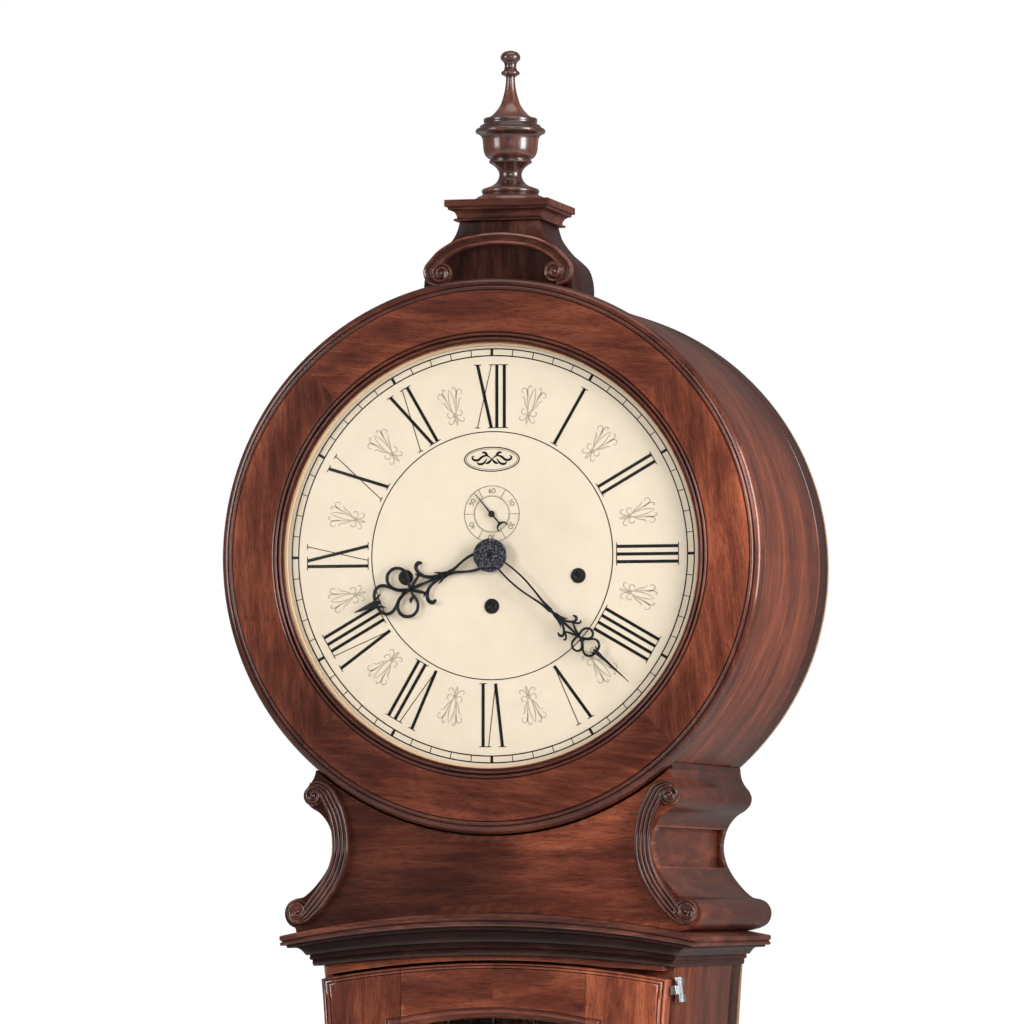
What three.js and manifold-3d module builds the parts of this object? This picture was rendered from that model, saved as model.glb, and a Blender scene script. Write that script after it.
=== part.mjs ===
// A floor-standing banjo clock: a round head over a scrolled neck, a throat that flares down to a box base,
// and inside it a three-weight movement with a seconds pendulum.
// Millimetres, +Z up, the dial faces -Y, and the origin is on the floor under the middle of the clock.

import * as THREE from 'three';
import { mergeVertices } from 'three/addons/utils/BufferGeometryUtils.js';
import Module from 'manifold-3d';

const wasm = await Module();
wasm.setup();

// ---------------------------------------------------------------- driving dimensions

const GAP = 0.3;              // clearance between pieces that touch
const DIAL_Z = 1713;          // centre of the dial above the floor
const RING_Y = -125;          // front face of the dial door's ring
const CASE_DEPTH = 290;       // ring's front face to the back of the case
const BACK_BOARD = 5.7;       // thickness of the boards that close the back

const RING_R = 225;           // dial door: outer radius, thickness and bore
const RING_THICK = 18;
const RING_BORE_R = 172;
const DRUM_R = 222;           // head drum
const DRUM_WALL = 12;
const DIAL_R = 184;           // dial plate and the depth of its front face
const DIAL_DEPTH = 11;

const THROAT_HALF = 141;      // narrowest half width of the waist, its height and its sweep
const THROAT_Z = DIAL_Z - 440;
const THROAT_SWEEP_R = 1040;
const SWEEP_END_Z = DIAL_Z - 740;
const WAIST_TOP_Z = DIAL_Z - 331;
const WAIST_FOOT_Z = 633;
const WAIST_WALL = 14;

const BASE_HALF = 247;        // base box, its plinth and the moulding above it
const BASE_FRONT_Y = -145;
const BASE_TOP_Z = 590;
const PLINTH_HALF = 267;
const PLINTH_FRONT_Y = -165;
const PLINTH_TOP_Z = 100;

const CORNICE_HALF = 172.5;   // cornice, arched in elevation
const CORNICE_CROWN_Z = DIAL_Z - 288.5;
const CORNICE_TOP_R = 800;
const CORNICE_FOOT_Z = DIAL_Z - 322.3;
const CORNICE_FOOT_R = 1225;

const DOOR_FRONT = 14;        // waist door: depths of its faces behind the ring's front face
const DOOR_BACK = 33.7;
const DOOR_TOP_Z = DIAL_Z - 328.7;
const DOOR_FOOT_Z = 648;

const MOVEMENT_FRONT = 50;    // front and back plates of the movement
const MOVEMENT_BACK = 110;
const PLATE_THICK = 3;
const DRUM_PLANE = 84;        // plane in which the cables and weights hang
const WINDING_X = 71.8;       // winding arbors: two outer ones and one under the centre
const WINDING_Z = -17;
const TIME_WINDING_Z = -41;
const CABLE_REACH = 17;       // cable centre line from its drum's or pulley's axis
const CABLE_R = 1;
const PULLEY_Z = DIAL_Z - 400;
const WEIGHT_R = 27;
const WEIGHT_LENGTH = 250;

const ESCAPE_Z = 33.6;        // seconds arbor above the centre arbor
const ANCHOR_Z = 60;          // pallet arbor, in line with the pendulum's suspension
const PENDULUM_DEPTH = 130;
const PENDULUM_LENGTH = 994;  // a one-second beat
const BOB_R = 60;

// ---------------------------------------------------------------- materials

const cherry = finish(0x5a2a1c, 0.35, 0);
const darkCherry = finish(0x3a1c15, 0.35, 0);
const plainWood = finish(0x8a6a48, 0.7, 0);
const brass = finish(0xb98f3e, 0.3, 1);
const steel = finish(0x8d9094, 0.35, 1);
const blackSteel = finish(0x15161a, 0.45, 0.6);
const chrome = finish(0xd0d2d6, 0.15, 1);
const castIron = finish(0x2b2b2d, 0.7, 0.5);
const cream = finish(0xf1e4c6, 0.55, 0);
const clearGlass = finish(0xdfe8ea, 0.05, 0);
clearGlass.transparent = true;
clearGlass.opacity = 0.3;

function finish(color, roughness, metalness) {
  return new THREE.MeshStandardMaterial({ color, roughness, metalness });
}

// ---------------------------------------------------------------- shape helpers

const clock = new THREE.Group();

function add(name, geometry, material) {
  const mesh = new THREE.Mesh(geometry, material);
  mesh.name = name;
  clock.add(mesh);
}

// Depth behind the ring's front face, as a y coordinate.
function deep(depth) {
  return RING_Y + depth;
}

function shape(points) {
  return new THREE.Shape(points.map(([x, y]) => new THREE.Vector2(x, y)));
}

function circle(x, y, radius) {
  const path = new THREE.Shape();
  path.absarc(x, y, radius, 0, 2 * Math.PI, false);
  return path;
}

// An outline in X and Z, given thickness from one y to another.
function panel(outline, yFront, yBack, curveSegments = 12) {
  const options = { depth: yBack - yFront, bevelEnabled: false, curveSegments };
  return new THREE.ExtrudeGeometry(outline, options).rotateX(Math.PI / 2).translate(0, yBack, 0);
}

// An outline in X and Z whose heights are measured from the dial's centre, at depths behind the ring.
function dialPanel(outline, front, back, curveSegments) {
  return panel(outline, deep(front), deep(back), curveSegments).translate(0, 0, DIAL_Z);
}

function block(x0, x1, y0, y1, z0, z1) {
  const box = new THREE.BoxGeometry(x1 - x0, y1 - y0, z1 - z0);
  return box.translate((x0 + x1) / 2, (y0 + y1) / 2, (z0 + z1) / 2);
}

// A block placed by depths behind the ring and heights from the dial's centre.
function dialBlock(x0, x1, front, back, z0, z1) {
  return block(x0, x1, deep(front), deep(back), DIAL_Z + z0, DIAL_Z + z1);
}

// Lathe needs its section anticlockwise in (radius, axis) for outward faces.
function turned(section, segments) {
  const area = section.reduce((sum, [r, a], i) => {
    const [nextR, nextA] = section[(i + 1) % section.length];
    return sum + r * nextA - nextR * a;
  }, 0);
  const ordered = area > 0 ? [...section] : [...section].reverse();
  const points = [...ordered, ordered[0]].map(([r, a]) => new THREE.Vector2(r, a));
  return new THREE.LatheGeometry(points, segments);
}

// A turning on an axis that runs front to back: the section is (radius, depth behind the ring).
function turnedOnY(section, x, z, segments = 32) {
  return turned(section, segments).translate(x, RING_Y, DIAL_Z + z);
}

// A turning on an upright axis: the section is (radius, height above the floor).
function turnedOnZ(section, x, y, segments = 32) {
  return turned(section, segments).rotateX(Math.PI / 2).translate(x, y, 0);
}

function rod(radius, front, back, x, z, segments = 10) {
  return turnedOnY([[0, front], [radius, front], [radius, back], [0, back]], x, z, segments);
}

function post(radius, z0, z1, x, y, segments = 10) {
  return turnedOnZ([[0, z0], [radius, z0], [radius, z1], [0, z1]], x, y, segments);
}

// ---------------------------------------------------------------- joining and cutting

function toSolid(geometry) {
  const bare = geometry.clone();
  for (const name of Object.keys(bare.attributes)) {
    if (name !== 'position') bare.deleteAttribute(name);
  }
  const merged = mergeVertices(bare, 1e-4);
  const vertProperties = new Float32Array(merged.attributes.position.array);
  const triVerts = new Uint32Array(merged.index.array);
  return new wasm.Manifold(new wasm.Mesh({ numProp: 3, vertProperties, triVerts }));
}

function fromSolid(solid) {
  const mesh = solid.getMesh();
  const geometry = new THREE.BufferGeometry();
  geometry.setAttribute('position', new THREE.BufferAttribute(mesh.vertProperties, 3));
  geometry.setIndex(new THREE.BufferAttribute(mesh.triVerts, 1));
  geometry.computeVertexNormals();
  return geometry;
}

function join(...geometries) {
  return fromSolid(geometries.map(toSolid).reduce((whole, next) => whole.add(next)));
}

function cut(geometry, ...tools) {
  return fromSolid(tools.map(toSolid).reduce((whole, tool) => whole.subtract(tool), toSolid(geometry)));
}

// ---------------------------------------------------------------- outlines shared by case pieces

// Half width of the waist: a hollow sweep round the throat, then a round one that ends upright at the foot.
function waistHalf(z) {
  const drop = THROAT_Z - z;
  if (z >= SWEEP_END_Z) return THROAT_HALF + THROAT_SWEEP_R - Math.sqrt(THROAT_SWEEP_R ** 2 - drop ** 2);
  const slope = Math.asin((THROAT_Z - SWEEP_END_Z) / THROAT_SWEEP_R);
  const footSweepR = (SWEEP_END_Z - WAIST_FOOT_Z) / Math.sin(slope);
  const footHalf = waistHalf(SWEEP_END_Z) + footSweepR * (1 - Math.cos(slope));
  const rise = z - WAIST_FOOT_Z;
  return footHalf - footSweepR + Math.sqrt(footSweepR ** 2 - rise ** 2);
}

const corniceTop = (x) => CORNICE_CROWN_Z - x * x / (2 * CORNICE_TOP_R);
const corniceFoot = (x) => CORNICE_FOOT_Z - x * x / (2 * CORNICE_FOOT_R);
const doorTop = (x) => DOOR_TOP_Z - x * x / (2 * CORNICE_TOP_R);

// The gap over the door widens towards its hinges, because their leaning line lifts the door as it opens.
const doorTopGap = (x) => 2.2 + 0.085 * Math.max(0, x - 95);

// Points of a curve z(x) from one x to another.
function curve(height, x0, x1, steps = 8) {
  return Array.from({ length: steps + 1 }, (_, i) => {
    const x = x0 + (x1 - x0) * i / steps;
    return [x, height(x)];
  });
}

// The waist in elevation, drawn in from its sides, between a level foot and an arched or level top.
function waistOutline(inset, foot, top, steps = 9) {
  const sideTop = top(waistHalf(WAIST_TOP_Z) - inset);
  const side = Array.from({ length: steps + 1 }, (_, i) => {
    const z = foot + (sideTop - foot) * i / steps;
    return [waistHalf(z) - inset, z];
  });
  const [corner] = side.slice(-1);
  const arch = curve(top, corner[0], -corner[0]).slice(1, -1);
  const mirrored = side.map(([x, z]) => [-x, z]).reverse();
  return shape([...side, ...arch, ...mirrored]);
}

// ---------------------------------------------------------------- base

function makeBase() {
  const wall = 22;
  const inner = PLINTH_HALF - wall;
  const frontCut = shape([[-175, -1], [-145, 30], [-90, 42], [90, 42], [145, 30], [175, -1]]);
  const sideCut = frontCut.clone();
  const sideTool = panel(sideCut, -300, 300).scale(0.55, 1, 1).rotateZ(Math.PI / 2);
  const plinth = cut(
    block(-PLINTH_HALF, PLINTH_HALF, PLINTH_FRONT_Y, deep(CASE_DEPTH), 0, PLINTH_TOP_Z),
    block(-inner, inner, PLINTH_FRONT_Y + wall, deep(CASE_DEPTH) - wall, -1, PLINTH_TOP_Z + 1),
    panel(frontCut, PLINTH_FRONT_Y - 1, 0),
    sideTool,
  );
  add('base_plinth', plinth, darkCherry);

  const boxWall = 16;
  const boxBack = deep(CASE_DEPTH - BACK_BOARD) - GAP;
  const boxFoot = PLINTH_TOP_Z + GAP;
  const reach = BASE_HALF - boxWall;
  const panelHalf = 180;
  const panelFoot = 160;
  const panelTop = 535;
  const panelBed = BASE_FRONT_Y + 8;
  const box = cut(
    block(-BASE_HALF, BASE_HALF, BASE_FRONT_Y, boxBack, boxFoot, BASE_TOP_Z),
    block(-reach, reach, BASE_FRONT_Y + boxWall, boxBack + 1, boxFoot + 12, BASE_TOP_Z + 1),
    block(-panelHalf, panelHalf, BASE_FRONT_Y - 1, panelBed, panelFoot, panelTop),
  );
  add('base_box', box, cherry);

  const fieldInset = 38;
  const board = block(
    -panelHalf + GAP, panelHalf - GAP, panelBed - 5, panelBed - GAP,
    panelFoot + GAP, panelTop - GAP,
  );
  const field = block(
    -panelHalf + fieldInset, panelHalf - fieldInset, panelBed - 7.5, panelBed - 1,
    panelFoot + fieldInset, panelTop - fieldInset,
  );
  add('base_front_panel', join(board, field), cherry);

  // The moulding steps in from the box's cornice to the waist, and is hollow like the box.
  const stepZ = 612;
  const moulding = cut(
    join(
      block(-255, 255, -152, boxBack, BASE_TOP_Z + GAP, stepZ),
      block(-244, 244, -124, boxBack, stepZ - 1, WAIST_FOOT_Z),
    ),
    block(-215, 215, -100, boxBack + 1, BASE_TOP_Z - 1, WAIST_FOOT_Z + 1),
  );
  add('base_moulding', moulding, darkCherry);
}

// ---------------------------------------------------------------- waist

function makeWaist() {
  const foot = WAIST_FOOT_Z + GAP;
  const top = (x) => corniceFoot(x) - GAP;
  const body = dialHeightPanel(waistOutline(0, foot, top), 34, CASE_DEPTH - BACK_BOARD - GAP);
  const header = cut(
    dialHeightPanel(waistOutline(0, WAIST_TOP_Z - 60, top), 16, 34.5),
    dialHeightPanel(waistOutline(-5, WAIST_TOP_Z - 80, (x) => doorTop(x) + doorTopGap(x)), 10, 33.7),
    dialHeightPanel(waistOutline(-5, WAIST_TOP_Z - 80, () => WAIST_TOP_Z - 45), 10, 40),
  );
  const sill = dialHeightPanel(waistOutline(0, foot, () => DOOR_FOOT_Z - 2), 16, 34.5);
  const inside = dialHeightPanel(waistOutline(WAIST_WALL, foot - 5, (x) => top(x) + 5), 52, CASE_DEPTH);
  const doorway = dialHeightPanel(waistOutline(24, foot + 25, () => DIAL_Z - 366), 10, 60);
  add('waist_case', cut(join(body, header, sill), inside, doorway), cherry);
}

// An outline in X and absolute Z at depths behind the ring.
function dialHeightPanel(outline, front, back) {
  return panel(outline, deep(front), deep(back));
}

// The back board closes the base, waist and neck behind, up to the round cover of the head.
function makeBackBoard() {
  const foot = PLINTH_TOP_Z + GAP;
  const coverR = DRUM_R + GAP;
  const neckHalf = 118;
  const waist = waistOutline(0, WAIST_FOOT_Z, () => WAIST_TOP_Z);
  const front = CASE_DEPTH - BACK_BOARD;
  const board = cut(
    join(
      dialHeightPanel(waist, front, CASE_DEPTH),
      block(-BASE_HALF, BASE_HALF, deep(front), deep(CASE_DEPTH), foot, WAIST_FOOT_Z + 1),
      block(-neckHalf, neckHalf, deep(front), deep(CASE_DEPTH), WAIST_TOP_Z - 1, DIAL_Z - 180),
    ),
    rod(coverR, front - 5, CASE_DEPTH + 5, 0, 0, 40),
  );
  add('back_panel', board, plainWood);
  add('head_back_cover', rod(DRUM_R, front, CASE_DEPTH, 0, 0, 40), plainWood);
}

// ---------------------------------------------------------------- cornice and neck

function makeCornice() {
  const back = deep(CASE_DEPTH - BACK_BOARD) - GAP;
  const layer = (half, front, lift, drop) => panel(shape([
    ...curve((x) => corniceFoot(x) + lift, -half, half),
    ...curve((x) => corniceTop(x) - drop, half, -half),
  ]), front, back);
  const crown = layer(CORNICE_HALF, deep(-8), 16, 0);
  const middle = layer(162, deep(1), 8, 12);
  const footLayer = layer(152, deep(9), 0, 20);
  const well = block(-112, 112, deep(44), back + 1, DIAL_Z - 360, DIAL_Z - 270);
  add('cornice', cut(join(crown, middle, footLayer), well), darkCherry);
}

// One side of the neck, from the cornice up round both scrolls to the dial door: (half width, height).
const NECK_SIDE = [
  [163, -301.5], [170, -295], [171, -287], [166, -279], [155, -274.5], [144, -262.5], [135.5, -250],
  [132, -236], [134, -222], [141.5, -209.5], [150, -203], [155, -197], [155.3, -190], [150, -184.5],
  [141, -177],
];

function makeNeck() {
  const arcHalf = 163;
  const foot = curve((x) => corniceTop(x) - DIAL_Z + GAP, -arcHalf, arcHalf, 16);
  const mirrored = NECK_SIDE.map(([x, z]) => [-x, z]).reverse();
  const outline = shape([...foot, ...NECK_SIDE, [120, -150], [-120, -150], ...mirrored]);
  const passage = dialBlock(-112, 112, 26, CASE_DEPTH, -330, -100);
  const neck = cut(
    dialPanel(outline, 10, CASE_DEPTH - BACK_BOARD - GAP),
    passage,
    rod(RING_R + 2, -5, 21.7, 0, 0, 48),
    rod(DRUM_R + 1, 21, CASE_DEPTH + 5, 0, 0, 48),
  );
  add('neck_body', neck, cherry);

  const width = 13.5;
  const run = NECK_SIDE.slice(3, 12);
  for (const [name, side] of [['neck_scroll_left', -1], ['neck_scroll_right', 1]]) {
    const inner = run.map(([x, z]) => [x - width, z]).reverse();
    const strip = shape([...run, ...inner].map(([x, z]) => [side * x, z]));
    const scroll = join(
      dialPanel(strip, 4.5, 9.7),
      rod(10, 4, 9.7, side * 160.5, -287, 24),
      rod(9, 4, 9.7, side * 146, -193.5, 24),
    );
    add(name, scroll, darkCherry);
  }
}

// ---------------------------------------------------------------- head, pedestal and finial

function makeHead() {
  const back = CASE_DEPTH - BACK_BOARD - GAP;
  const innerR = DRUM_R - DRUM_WALL;
  const seatR = RING_BORE_R + 1;
  const seatFront = DIAL_DEPTH + 1.8;
  const section = [
    [DRUM_R, 22], [DRUM_R, back], [innerR, back], [innerR, 30], [seatR, 30], [seatR, seatFront],
    [DIAL_R, seatFront], [DIAL_R, 22],
  ];
  const opening = dialBlock(-112, 112, 34, CASE_DEPTH, -250, -150);
  add('head_drum', cut(turnedOnY(section, 0, 0, 40), opening), cherry);
}

function makePedestal() {
  const axis = 73.5;
  const flank = [
    [63, 213.3], [62.5, 226], [59, 237], [53, 244], [46, 250], [40, 257], [36, 263], [34, 269],
    [33, 273.7],
  ];
  const mirrored = flank.map(([x, z]) => [-x, z]).reverse();
  const bell = cut(
    dialPanel(shape([[63, 200], ...flank, ...mirrored, [-63, 200]]), 35, 105),
    rod(DRUM_R + 1, 30, 110, 0, 0, 48),
  );
  add('pedestal_body', bell, darkCherry);

  const plate = join(
    dialBlock(-43.5, 43.5, 24.4, 119, 285, 291),
    dialBlock(-37, 37, 31, 112, 274, 285.5),
  );
  add('pedestal_plate', plate, darkCherry);

  const archR = 65.5;
  const archZ = 197.5;
  const turn = (radius, from, to) => Array.from({ length: 13 }, (_, i) => {
    const angle = THREE.MathUtils.degToRad(from + (to - from) * i / 12);
    return [radius * Math.cos(angle), archZ + radius * Math.sin(angle)];
  });
  const arch = shape([...turn(archR, 36, 144), ...turn(archR - 8, 144, 36)]);
  const scroll = join(
    dialPanel(arch, 28, 34.7),
    rod(9, 28, 34.7, -46, 231, 24),
    rod(9, 28, 34.7, 46, 231, 24),
  );
  add('pedestal_scroll', scroll, darkCherry);

  const finial = [
    [0, 291.3], [30, 291.3], [30, 293], [28, 297], [23, 300], [22.9, 303], [12.4, 307], [9.2, 314],
    [12.1, 320], [17.3, 325], [17.3, 328], [19.5, 329.5], [21.6, 333], [22.7, 340], [24.9, 346],
    [28.5, 352], [28.5, 355], [22, 359], [21.7, 362], [13.1, 366], [7.4, 373], [5.1, 380], [3.7, 389],
    [3.7, 395.5], [7.5, 398], [7.5, 400.5], [5.3, 404], [5.3, 407], [8.2, 410], [8.2, 413],
    [5.5, 416.3], [0, 417],
  ];
  add('finial', turnedOnZ(finial, 0, deep(axis), 16).translate(0, 0, DIAL_Z), darkCherry);
}

// ---------------------------------------------------------------- dial door

const DIAL_HINGE_X = -225.5;
const DIAL_HINGE_DEPTH = 24;

function makeDialDoor() {
  const rebateR = 176;
  const ring = [
    [RING_R, 4], [RING_R, RING_THICK], [DIAL_R + 2.5, RING_THICK], [DIAL_R + 2.5, 9.2], [rebateR, 9.2],
    [rebateR, 3.8], [RING_BORE_R, 3.8], [RING_BORE_R, 2.5], [182, 0], [217, 0],
  ];
  add('dial_door_ring', turnedOnY(ring, 0, 0, 48), cherry);

  const edgeR = RING_BORE_R - 1;
  const flangeR = rebateR - 0.9;
  const thick = 2.5;
  const apex = -18;
  const rise = 4.1 - apex;
  const domeR = (edgeR ** 2 + rise ** 2) / (2 * rise);
  const dome = (lift) => curve((r) => apex + lift + domeR - Math.sqrt(domeR ** 2 - r ** 2), edgeR, 0, 4);
  const glass = [[flangeR, 4.1 + thick], [flangeR, 4.1], ...dome(0), ...dome(thick).reverse()];
  add('dial_glass', turnedOnY(glass, 0, 0, 32), clearGlass);

  const retainer = [[170.5, 6.9], [flangeR, 6.9], [flangeR, 8.9], [170.5, 8.9]];
  add('glass_retainer', turnedOnY(retainer, 0, 0, 32), brass);

  // Butt hinge: the door's knuckle and leaf turn on a pin that stands between two knuckles on the drum.
  // It is short enough to stay behind the ring's round edge.
  const knuckle = 14;
  const reach = 26;
  const barrelR = 2.4;
  const pinR = 1.1;
  const x = DIAL_HINGE_X;
  const y = deep(DIAL_HINGE_DEPTH);
  const leafFront = RING_THICK + GAP;
  const doorLeaf = cut(
    join(
      post(barrelR, DIAL_Z - knuckle, DIAL_Z + knuckle, x, y),
      dialBlock(x, -190, leafFront, leafFront + 1.5, -knuckle, knuckle),
      dialBlock(x - 1.9, x + 0.5, leafFront, DIAL_HINGE_DEPTH, -knuckle, knuckle),
    ),
    post(pinR + GAP, DIAL_Z - reach, DIAL_Z + reach, x, y),
  );
  add('dial_door_leaf', doorLeaf, brass);

  const caseLeaf = cut(
    join(
      post(pinR, DIAL_Z - reach + 2, DIAL_Z + reach - 2, x, y),
      post(barrelR, DIAL_Z - reach, DIAL_Z - knuckle - GAP, x, y),
      post(barrelR, DIAL_Z + knuckle + GAP, DIAL_Z + reach, x, y),
      dialBlock(x, -213, DIAL_HINGE_DEPTH, 44, -reach, -knuckle - GAP),
      dialBlock(x, -213, DIAL_HINGE_DEPTH, 44, knuckle + GAP, reach),
    ),
    rod(DRUM_R + 1, 21.7, 60, 0, 0, 48),
  );
  add('dial_hinge', caseLeaf, brass);
}

// ---------------------------------------------------------------- waist door

// The hinge line leans with the flare, so that both hinges clear the hollow side.
const WAIST_HINGE_TOP = new THREE.Vector3(149.5, deep(34), DIAL_Z - 350);
const WAIST_HINGE_FOOT = new THREE.Vector3(240, deep(34), DIAL_Z - 1050);
const WAIST_HINGE_LEAN = Math.atan2(
  WAIST_HINGE_FOOT.x - WAIST_HINGE_TOP.x,
  WAIST_HINGE_TOP.z - WAIST_HINGE_FOOT.z,
);

// Puts a piece that is made round the origin on the leaning hinge line.
function onHingeLine(geometry, point) {
  return geometry.rotateY(-WAIST_HINGE_LEAN).translate(point.x, point.y, point.z);
}

function makeWaistDoor() {
  const outline = waistOutline(2, DOOR_FOOT_Z, doorTop);
  const lightInset = 66;
  const lightTop = (x) => DIAL_Z - 373 - x * x / (2 * 330);
  const light = waistOutline(lightInset, DOOR_FOOT_Z + 72, lightTop);
  const rebate = waistOutline(lightInset - 8, DOOR_FOOT_Z + 64, (x) => lightTop(x) + 8);
  const knob = { x: -(waistHalf(DIAL_Z - 700) - 33), z: -700 };
  const frame = cut(
    dialHeightPanel(outline, DOOR_FRONT, DOOR_BACK),
    dialHeightPanel(light, 0, 50),
    dialHeightPanel(rebate, 25, 50),
    rod(3.4, 0, 50, knob.x, knob.z),
  );
  add('waist_door_frame', frame, cherry);

  const pane = waistOutline(lightInset - 7.5, DOOR_FOOT_Z + 64.5, (x) => lightTop(x) + 7.5);
  add('waist_door_glass', dialHeightPanel(pane, 25.3, 28.3), clearGlass);

  const knobSection = [
    [0, -12], [7, -11], [10, -7], [9, -2], [5, 2], [5, 8], [9, 11], [9, 13.7], [3, 13.7], [3, 52.5],
    [0, 52.5],
  ];
  const cam = dialBlock(knob.x - 5, knob.x + 5, 52.3, 54.3, knob.z - 16, knob.z + 5);
  add('waist_door_knob', join(turnedOnY(knobSection, knob.x, knob.z, 12), cam), brass);

  const barrelR = 3.2;
  const knuckle = 3.5;
  const reach = 10;
  const inDoor = dialHeightPanel(waistOutline(1, DOOR_FOOT_Z, doorTop), DOOR_FRONT - 5, DOOR_BACK + GAP);
  const inCase = dialHeightPanel(waistOutline(-1, WAIST_FOOT_Z, corniceFoot), 33.6, CASE_DEPTH);
  for (const [place, point] of [['upper', WAIST_HINGE_TOP], ['lower', WAIST_HINGE_FOOT]]) {
    const doorLeaf = cut(
      onHingeLine(join(
        post(barrelR, -knuckle, knuckle, 0, 0),
        block(-9, -1, -9, -0.6, -knuckle, knuckle),
      ), point),
      onHingeLine(post(1.6, -reach, reach, 0, 0), point),
      inDoor,
      inCase,
    );
    add(`waist_door_leaf_${place}`, doorLeaf, chrome);

    const caseLeaf = cut(
      onHingeLine(join(
        post(1.3, 1 - reach, reach - 1, 0, 0),
        post(barrelR, -reach, -knuckle - GAP, 0, 0),
        post(barrelR, knuckle + GAP, reach, 0, 0),
        block(-9, -1, 0.6, 26, -reach, -knuckle - GAP),
        block(-9, -1, 0.6, 26, knuckle + GAP, reach),
      ), point),
      inDoor,
      inCase,
    );
    add(`waist_hinge_${place}`, caseLeaf, chrome);
  }
}

// ---------------------------------------------------------------- dial and hands

const windings = [
  { name: 'strike', x: -WINDING_X, z: WINDING_Z },
  { name: 'time', x: 0, z: TIME_WINDING_Z },
  { name: 'chime', x: WINDING_X, z: WINDING_Z },
];

function makeDial() {
  const plate = circle(0, 0, DIAL_R);
  plate.holes.push(circle(0, 0, 6), circle(0, ESCAPE_Z, 2.2));
  plate.holes.push(...windings.map(({ x, z }) => circle(x, z, 5.8)));
  add('dial_plate', dialPanel(plate, DIAL_DEPTH, DIAL_DEPTH + 1.5, 8), cream);
}

// Turns a hand that points up, clockwise as the dial is seen, round an arbor.
function pointed(geometry, degrees, arborZ = 0) {
  const angle = THREE.MathUtils.degToRad(degrees);
  return geometry.translate(0, 0, -DIAL_Z - arborZ).rotateY(angle).translate(0, 0, DIAL_Z + arborZ);
}

function handBlade(half, front, back) {
  const mirrored = half.map(([x, z]) => [-x, z]).reverse();
  return dialPanel(shape([...half, ...mirrored]), front, back);
}

const HOUR_ANGLE = 248.4;
const MINUTE_ANGLE = 131.9;
const SECONDS_ANGLE = 319.7;

function makeHands() {
  const hourHalf = [
    [3, 8], [5, 22], [2, 36], [4, 46], [15, 58], [6, 66], [18, 80], [11.7, 94], [3, 103], [0.4, 123],
  ];
  const hour = cut(
    join(pointed(handBlade(hourHalf, 7, 8), HOUR_ANGLE), rod(9, 7, 8, 0, 0, 24)),
    rod(5.3, 5, 10, 0, 0, 24),
  );
  add('hour_hand', hour, blackSteel);

  const minuteHalf = [
    [3, 8], [4, 40], [1.4, 62], [2.5, 80], [8.5, 88], [2, 98], [10, 104], [7.4, 111], [1.4, 118],
    [0.4, 154.6],
  ];
  const minute = cut(
    join(pointed(handBlade(minuteHalf, 4.2, 5.2), MINUTE_ANGLE), rod(13.8, 1.5, 5.2, 0, 0, 32)),
    rod(3.1, 3, 10, 0, 0, 16),
  );
  add('minute_hand', minute, blackSteel);

  const secondsHalf = [[1.6, -13], [0.6, -4], [0.5, 10], [0.25, 22]].map(([x, z]) => [x, z + ESCAPE_Z]);
  const seconds = cut(
    join(
      pointed(handBlade(secondsHalf, 9.2, 9.9), SECONDS_ANGLE, ESCAPE_Z),
      rod(2.6, 9, 9.9, 0, ESCAPE_Z, 16),
    ),
    rod(1.5, 8, 11, 0, ESCAPE_Z, 12),
  );
  add('seconds_hand', seconds, blackSteel);
}

// ---------------------------------------------------------------- wheels of the movement

// A gear whose first tooth points along an angle, as a shape round the origin.
function gearShape(teeth, gearModule, angle) {
  const pitchR = teeth * gearModule / 2;
  const rootR = pitchR - 1.2 * gearModule;
  const tipR = pitchR + 0.8 * gearModule;
  const pitch = 2 * Math.PI / teeth;
  const points = [];
  for (let i = 0; i < teeth; i++) {
    const middle = angle + i * pitch;
    for (const [radius, share] of [[rootR, -0.26], [tipR, 0], [rootR, 0.26]]) {
      const at = middle + share * pitch;
      points.push([radius * Math.cos(at), radius * Math.sin(at)]);
    }
  }
  return shape(points);
}

function gear({ teeth, module: gearModule, angle = 0, x = 0, z = 0, front, back, bore = 0 }) {
  const outline = gearShape(teeth, gearModule, angle);
  if (bore > 0) outline.holes.push(circle(0, 0, bore));
  return dialPanel(outline, front, back, 8).translate(x, 0, z);
}

// The direction from one arbor to another, and the angle that puts a gap of the second gear on that line.
function towards(from, to) {
  return Math.atan2(to.z - from.z, to.x - from.x);
}

function gapTowards(from, to, teeth) {
  return towards(from, to) + Math.PI / teeth;
}

const centre = { x: 0, z: 0 };
const escapeArbor = { x: 0, z: ESCAPE_Z };
const CENTRE_MODULE = 1;
const THIRD_MODULE = 0.93;
const MINUTE_MODULE = 1.125;
const HOUR_MODULE = 0.9;
const thirdArbor = placeThirdArbor();
const minuteArbor = { x: 18, z: 0 };
const timeArbor = { x: 0, z: TIME_WINDING_Z };

// The third arbor stands at its two meshing distances from the centre and seconds arbors.
function placeThirdArbor() {
  const fromCentre = CENTRE_MODULE * (48 + 6) / 2;
  const fromEscape = THIRD_MODULE * (45 + 6) / 2;
  const z = (fromCentre ** 2 - fromEscape ** 2 + ESCAPE_Z ** 2) / (2 * ESCAPE_Z);
  return { x: -Math.sqrt(fromCentre ** 2 - z ** 2), z };
}

const PIVOT_BACK = 112.5;

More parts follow.
